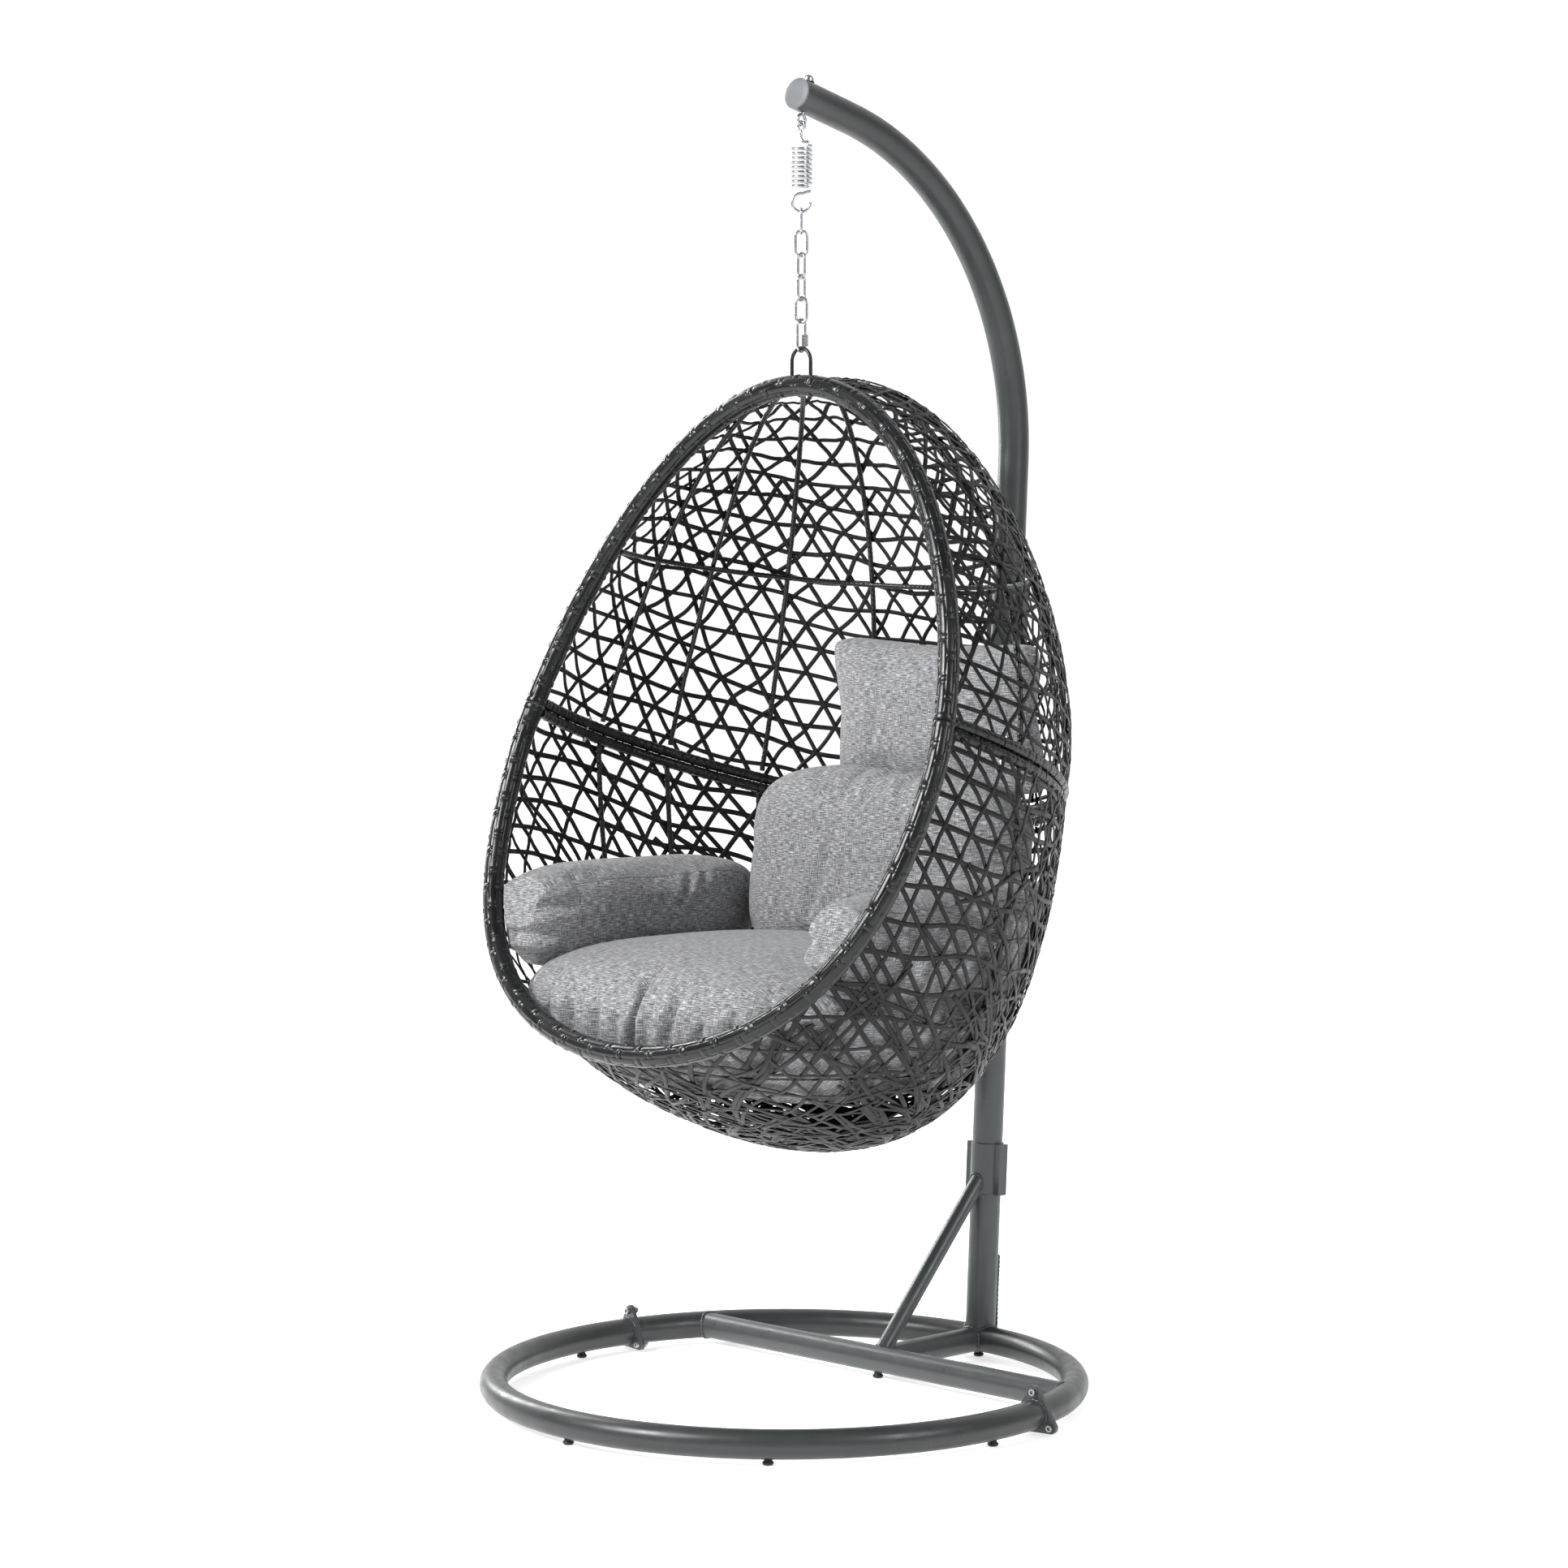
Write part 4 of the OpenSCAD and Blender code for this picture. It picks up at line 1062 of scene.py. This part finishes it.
def cushion(name, node, size, power, centre, turn, folds, shape, voxel, most, lump, seed):
    """Builds a cushion in its own axes, creases it, runs the cloth and puts it in place."""
    obj = soft_mesh(name, size, power, voxel)
    mesh = obj.data
    put(mesh, shape(coords(mesh) * 1000) / 1000)
    p, normal = coords(mesh) * 1000, read(mesh.vertex_normals, "vector")
    local = np.random.default_rng(seed)
    swell = np.zeros(len(p))
    for _ in range(9):
        way = unit(local.normal(size=3))
        swell += np.sin(p @ way / local.uniform(28, 80) + local.uniform(0, 6))
    moved = creases(p, folds) + lump * swell / 3
    put(mesh, (p + moved[:, None] * normal) / 1000)
    puff(obj, most)
    subdivide = obj.modifiers.new("fine", "SUBSURF")
    subdivide.levels = subdivide.render_levels = 1
    freeze(obj)
    mesh = obj.data
    put(mesh, metres(settle(coords(mesh) * 1000 @ rotation(*turn).T + np.array(centre))))
    box_uv(mesh)
    bpy.data.objects.remove(obj)
    obj = finish_object(name, mesh, CLOTH, "egg", [node], 0)
    return obj


def seam_line(name, obj, points, outwards, radius, sink):
    """A sewn edge laid on a cushion: rays shot inward find its skin."""
    tree = BVHTree.FromObject(obj, bpy.context.evaluated_depsgraph_get())
    found = []
    for point, way in zip(metres(points), unit(outwards)):
        hit = tree.ray_cast(Vector(point + way * 0.25), Vector(-way))
        if hit[0] is not None:
            found.append(np.array(hit[0]) * 1000 - SHIFT - sink * way)
    made = Build()
    made.tube(resample(np.array(found), 3.0), radius, 8)
    made.make(name, PIPING, "egg", (), 0)


SEAT_SIZE, SEAT_AT, SEAT_POWER = (372, 288, 100), (0, -14, 577), 3.2
BACK_SIZE, BACK_AT = (266, 76, 150), (0, 226, 780)
BOLSTER_SIZE, BOLSTER_X, BOLSTER_Y, BOLSTER_Z = (66, 241, 82), 330, -5, 708
PILLOW_SIZE, PILLOW_AT = (226, 60, 116), (60, 272, 1013)

# Folds at the seat's front: place, slant, depth, half width, low end and high end.
seat_folds = [(0, 2, x, slant, 1.7 * depth, 0.8 * width, low, high) for x, slant, depth, width, low, high in (
    (-12, 0.10, 13, 9, -70, 66), (-96, 0.05, 5, 9, -60, 40), (-150, -0.10, 6, 10, -55, 45),
    (-205, -0.15, 5, 9, -50, 40), (62, 0.25, 7, 11, -40, 62), (118, 0.30, 5, 9, -50, 30),
    (176, 0.2, 6, 10, -60, 40), (-52, 0.0, 3, 7, -50, 30), (225, 0.2, 5, 10, -50, 40))]


def seat_shape(p):
    """The top falls away to the front and the sides."""
    q = p.copy()
    top = np.clip(p[:, 2] / 98, 0, 1)
    q[:, 2] -= 22 * np.clip(-p[:, 1] / 290, 0, 1) ** 3 * top
    q[:, 2] -= 10 * (np.abs(p[:, 0]) / 370) ** 3 * top
    return q


def pillow_shape(p):
    """Sides pull in between the corners, and the corners are thin."""
    q = p.copy()
    a, b = np.clip(p[:, 0] / PILLOW_SIZE[0], -1, 1), np.clip(p[:, 2] / PILLOW_SIZE[2], -1, 1)
    q[:, 0] *= 1 - 0.10 * (1 - b * b) * a * a
    q[:, 2] *= 1 - 0.14 * (1 - a * a) * b * b
    q[:, 1] *= 0.16 + 0.84 * ((1 - a ** 4) * (1 - b ** 4)) ** 0.6
    return q


def back_shape(p):
    """The top corners are rounded off, and the edges are thinner than the middle."""
    q = p.copy()
    a, b = np.clip(p[:, 0] / 264, -1, 1), np.clip(p[:, 2] / BACK_SIZE[2], -1, 1)
    q[:, 2] *= 1 - 0.05 * (1 - b * b) - 0.22 * (b > 0) * a ** 4
    q[:, 1] *= 0.35 + 0.65 * ((1 - a ** 6) * (1 - b ** 6)) ** 0.5
    return q


def bolster_shape(p):
    """A little lower in the middle than at its ends."""
    q = p.copy()
    b = np.clip(p[:, 1] / BOLSTER_SIZE[1], -1, 1)
    q[:, 2] *= 1 - 0.10 * (1 - b * b)
    return q


seat = cushion("cushion_seat", "seat_cushion", SEAT_SIZE, SEAT_POWER, SEAT_AT, (0, 0), seat_folds,
               seat_shape, voxel=0.0062, most=0.009, lump=2.4, seed=1)
cushion("cushion_back", "back_cushion", BACK_SIZE, 4.6, BACK_AT, (-7, 0),
        [(0, 2, -60, 0.3, 5, 10, -110, 60), (0, 2, 90, -0.2, 4, 10, -110, 40)], back_shape,
        voxel=0.0055, most=0.009, lump=2.2, seed=2)
left_folds = [(1, 2, 34, 0.8, 5, 8, -50, 70), (1, 2, 62, 0.8, 5, 8, -50, 70),
              (2, 1, 24, 0.0, 9, 8, -230, -150), (2, 1, -18, 0.0, 9, 8, -260, -180),
              (2, 1, -50, 0.0, 6, 8, -260, -180)]
right_folds = [(1, 2, 10, 0.6, 4, 8, -50, 60), (2, 1, -30, 0.0, 9, 7, -260, -170),
               (2, 1, 12, 0.0, 7, 7, -260, -180)]
bolsters = [
    cushion("bolster_" + name, name + "_bolster", BOLSTER_SIZE, 3.2, (side * BOLSTER_X, BOLSTER_Y, BOLSTER_Z),
            (0, 0), folds, bolster_shape, voxel=0.0050, most=0.008, lump=1.8, seed=seed)
    for name, side, folds, seed in (("left", -1, left_folds, 3), ("right", 1, right_folds, 4))]
cushion("pillow_head", "head_pillow", PILLOW_SIZE, 9.0, PILLOW_AT, (4, -6),
        [(0, 2, -70, 0.2, 3, 9, -60, 60)], pillow_shape, voxel=0.0050, most=0.008, lump=1.8, seed=5)

# Sewn edges: one around the front end of each bolster, two along it, and one along the front of the seat.
SEAM_RING = 60
for side, bolster in zip((-1, 1), bolsters):
    a = np.linspace(0, 2 * math.pi, 90)
    out = np.stack([np.cos(a), 0 * a, np.sin(a)], -1)
    front = np.array([side * BOLSTER_X, -168, BOLSTER_Z])
    seam_line(bolster.name + "_end", bolster, front + SEAM_RING * out, out, 0.9, 0.35)
    for lift in (45, 135):
        way = np.array([math.cos(math.radians(lift)), 0, math.sin(math.radians(lift))])
        along = np.linspace(-165, 190, 60)[:, None] * [0, 1, 0]
        points = np.array([side * BOLSTER_X, 0, BOLSTER_Z]) + along + SEAM_RING * way
        seam_line(f"{bolster.name}_edge_{lift}", bolster, points, np.repeat(way[None], 60, axis=0), 0.9, 0.35)
a = np.radians(np.linspace(190, 350, 200))
points = np.stack([SEAT_AT[0] + SEAT_SIZE[0] * squared(np.cos(a), SEAT_POWER),
                   SEAT_AT[1] + SEAT_SIZE[1] * squared(np.sin(a), SEAT_POWER), np.full(200, 592.0)], -1)
seam_line("seam_seat", seat, points, np.stack([np.cos(a), np.sin(a), 0 * a], -1), 1.2, 0.7)

# ---------------- carried-over metal parts

STEEL_NODES = ("front_ring_arc", "rear_ring_arc", "front_flange_plates", "rear_flange_plates", "crossbar",
               "spine_bar", "strut", "lower_post", "lower_socket", "middle_post", "upper_socket")
ZINC_NODES = ("flange_bolts", "flange_nuts", "foot_screws", "eye_bolt", "dome_nut", "quick_link_nut",
              "seam_bolts", "seam_nuts")
for look, nodes in ((STEEL, STEEL_NODES), (ZINC, ZINC_NODES)):
    for node in nodes:
        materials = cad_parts[node].data.materials
        materials.clear()
        materials.append(look)
for node, width in (("front_flange_plates", 0.0006), ("rear_flange_plates", 0.0006), ("flange_bolts", 0.0005),
                    ("flange_nuts", 0.0004), ("lower_socket", 0.0012), ("upper_socket", 0.0012),
                    ("quick_link_nut", 0.0005)):
    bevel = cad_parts[node].modifiers.new("bevel", "BEVEL")
    bevel.width, bevel.segments, bevel.limit_method, bevel.angle_limit = width, 2, "ANGLE", math.radians(40)
    bevel.harden_normals = False

# ---------------- stage, light and camera


def stage_plane(name, size, centre, turn, colour, glow):
    mesh = bpy.data.meshes.new(name)
    x, y = size[0] / 2, size[1] / 2
    mesh.from_pydata([(-x, -y, 0), (x, -y, 0), (x, y, 0), (-x, y, 0)], [], [(0, 1, 2, 3)])
    obj = link(name, mesh)
    obj.location, obj.rotation_euler = centre, [math.radians(t) for t in turn]
    look = Look(name + "_white", colour, 0.9, 0.0, 0.1)
    look.set("Emission Color", (1, 1, 1, 1))
    look.set("Emission Strength", glow)
    mesh.materials.append(look.material)


CAMERA_TURN = 44.928  # degrees from the front of the chair
stage_plane("floor", (60, 60), (0, 0, 0), (0, 0, 0), (0.90, 0.90, 0.90), 0.62)
stage_plane("backdrop", (70, 40), (-10.2, 10.2, 10), (90, 0, CAMERA_TURN), (0.0, 0.0, 0.0), 1.02)

scene = bpy.context.scene
world = scene.world or bpy.data.worlds.new("world")
scene.world = world
world.use_nodes = True
world.node_tree.nodes["Background"].inputs[0].default_value = (0.97, 0.985, 1.0, 1)
world.node_tree.nodes["Background"].inputs[1].default_value = 0.34
scene.view_settings.view_transform = "Standard"


def aim(obj, place, way):
    obj.location = place
    obj.rotation_euler = Vector(way).to_track_quat("-Z", "Y").to_euler()


for name, place, target, size, power in (
        ("key", (-1.2, -4.4, 3.9), (0, 0, 0.9), (1.8, 1.8), 350),
        ("fill", (4.8, 0.2, 3.2), (0, 0, 0.9), (1.6, 2.6), 80),
        ("rim_light", (-4.2, 0.4, 2.6), (0, 0, 1.0), (0.9, 2.6), 110)):
    light = bpy.data.lights.new(name, "AREA")
    light.shape, light.size, light.size_y, light.energy = "RECTANGLE", size[0], size[1], power
    aim(link(name, light), place, Vector(target) - Vector(place))

# The camera is the photo's, fitted: its distance from the ring's centre and its height are in metres.
turn, down, distance, height = math.radians(CAMERA_TURN), math.radians(3.58), 5.9622, 1.2899
view = bpy.data.cameras.new("camera")
view.sensor_width, view.lens, view.clip_end = 36, 92.09441, 200
camera = link("camera", view)
aim(camera, np.array([distance * math.sin(turn), -distance * math.cos(turn), height]) + SHIFT / 1000,
    (-math.sin(turn) * math.cos(down), math.cos(turn) * math.cos(down), -math.sin(down)))
scene.camera = camera
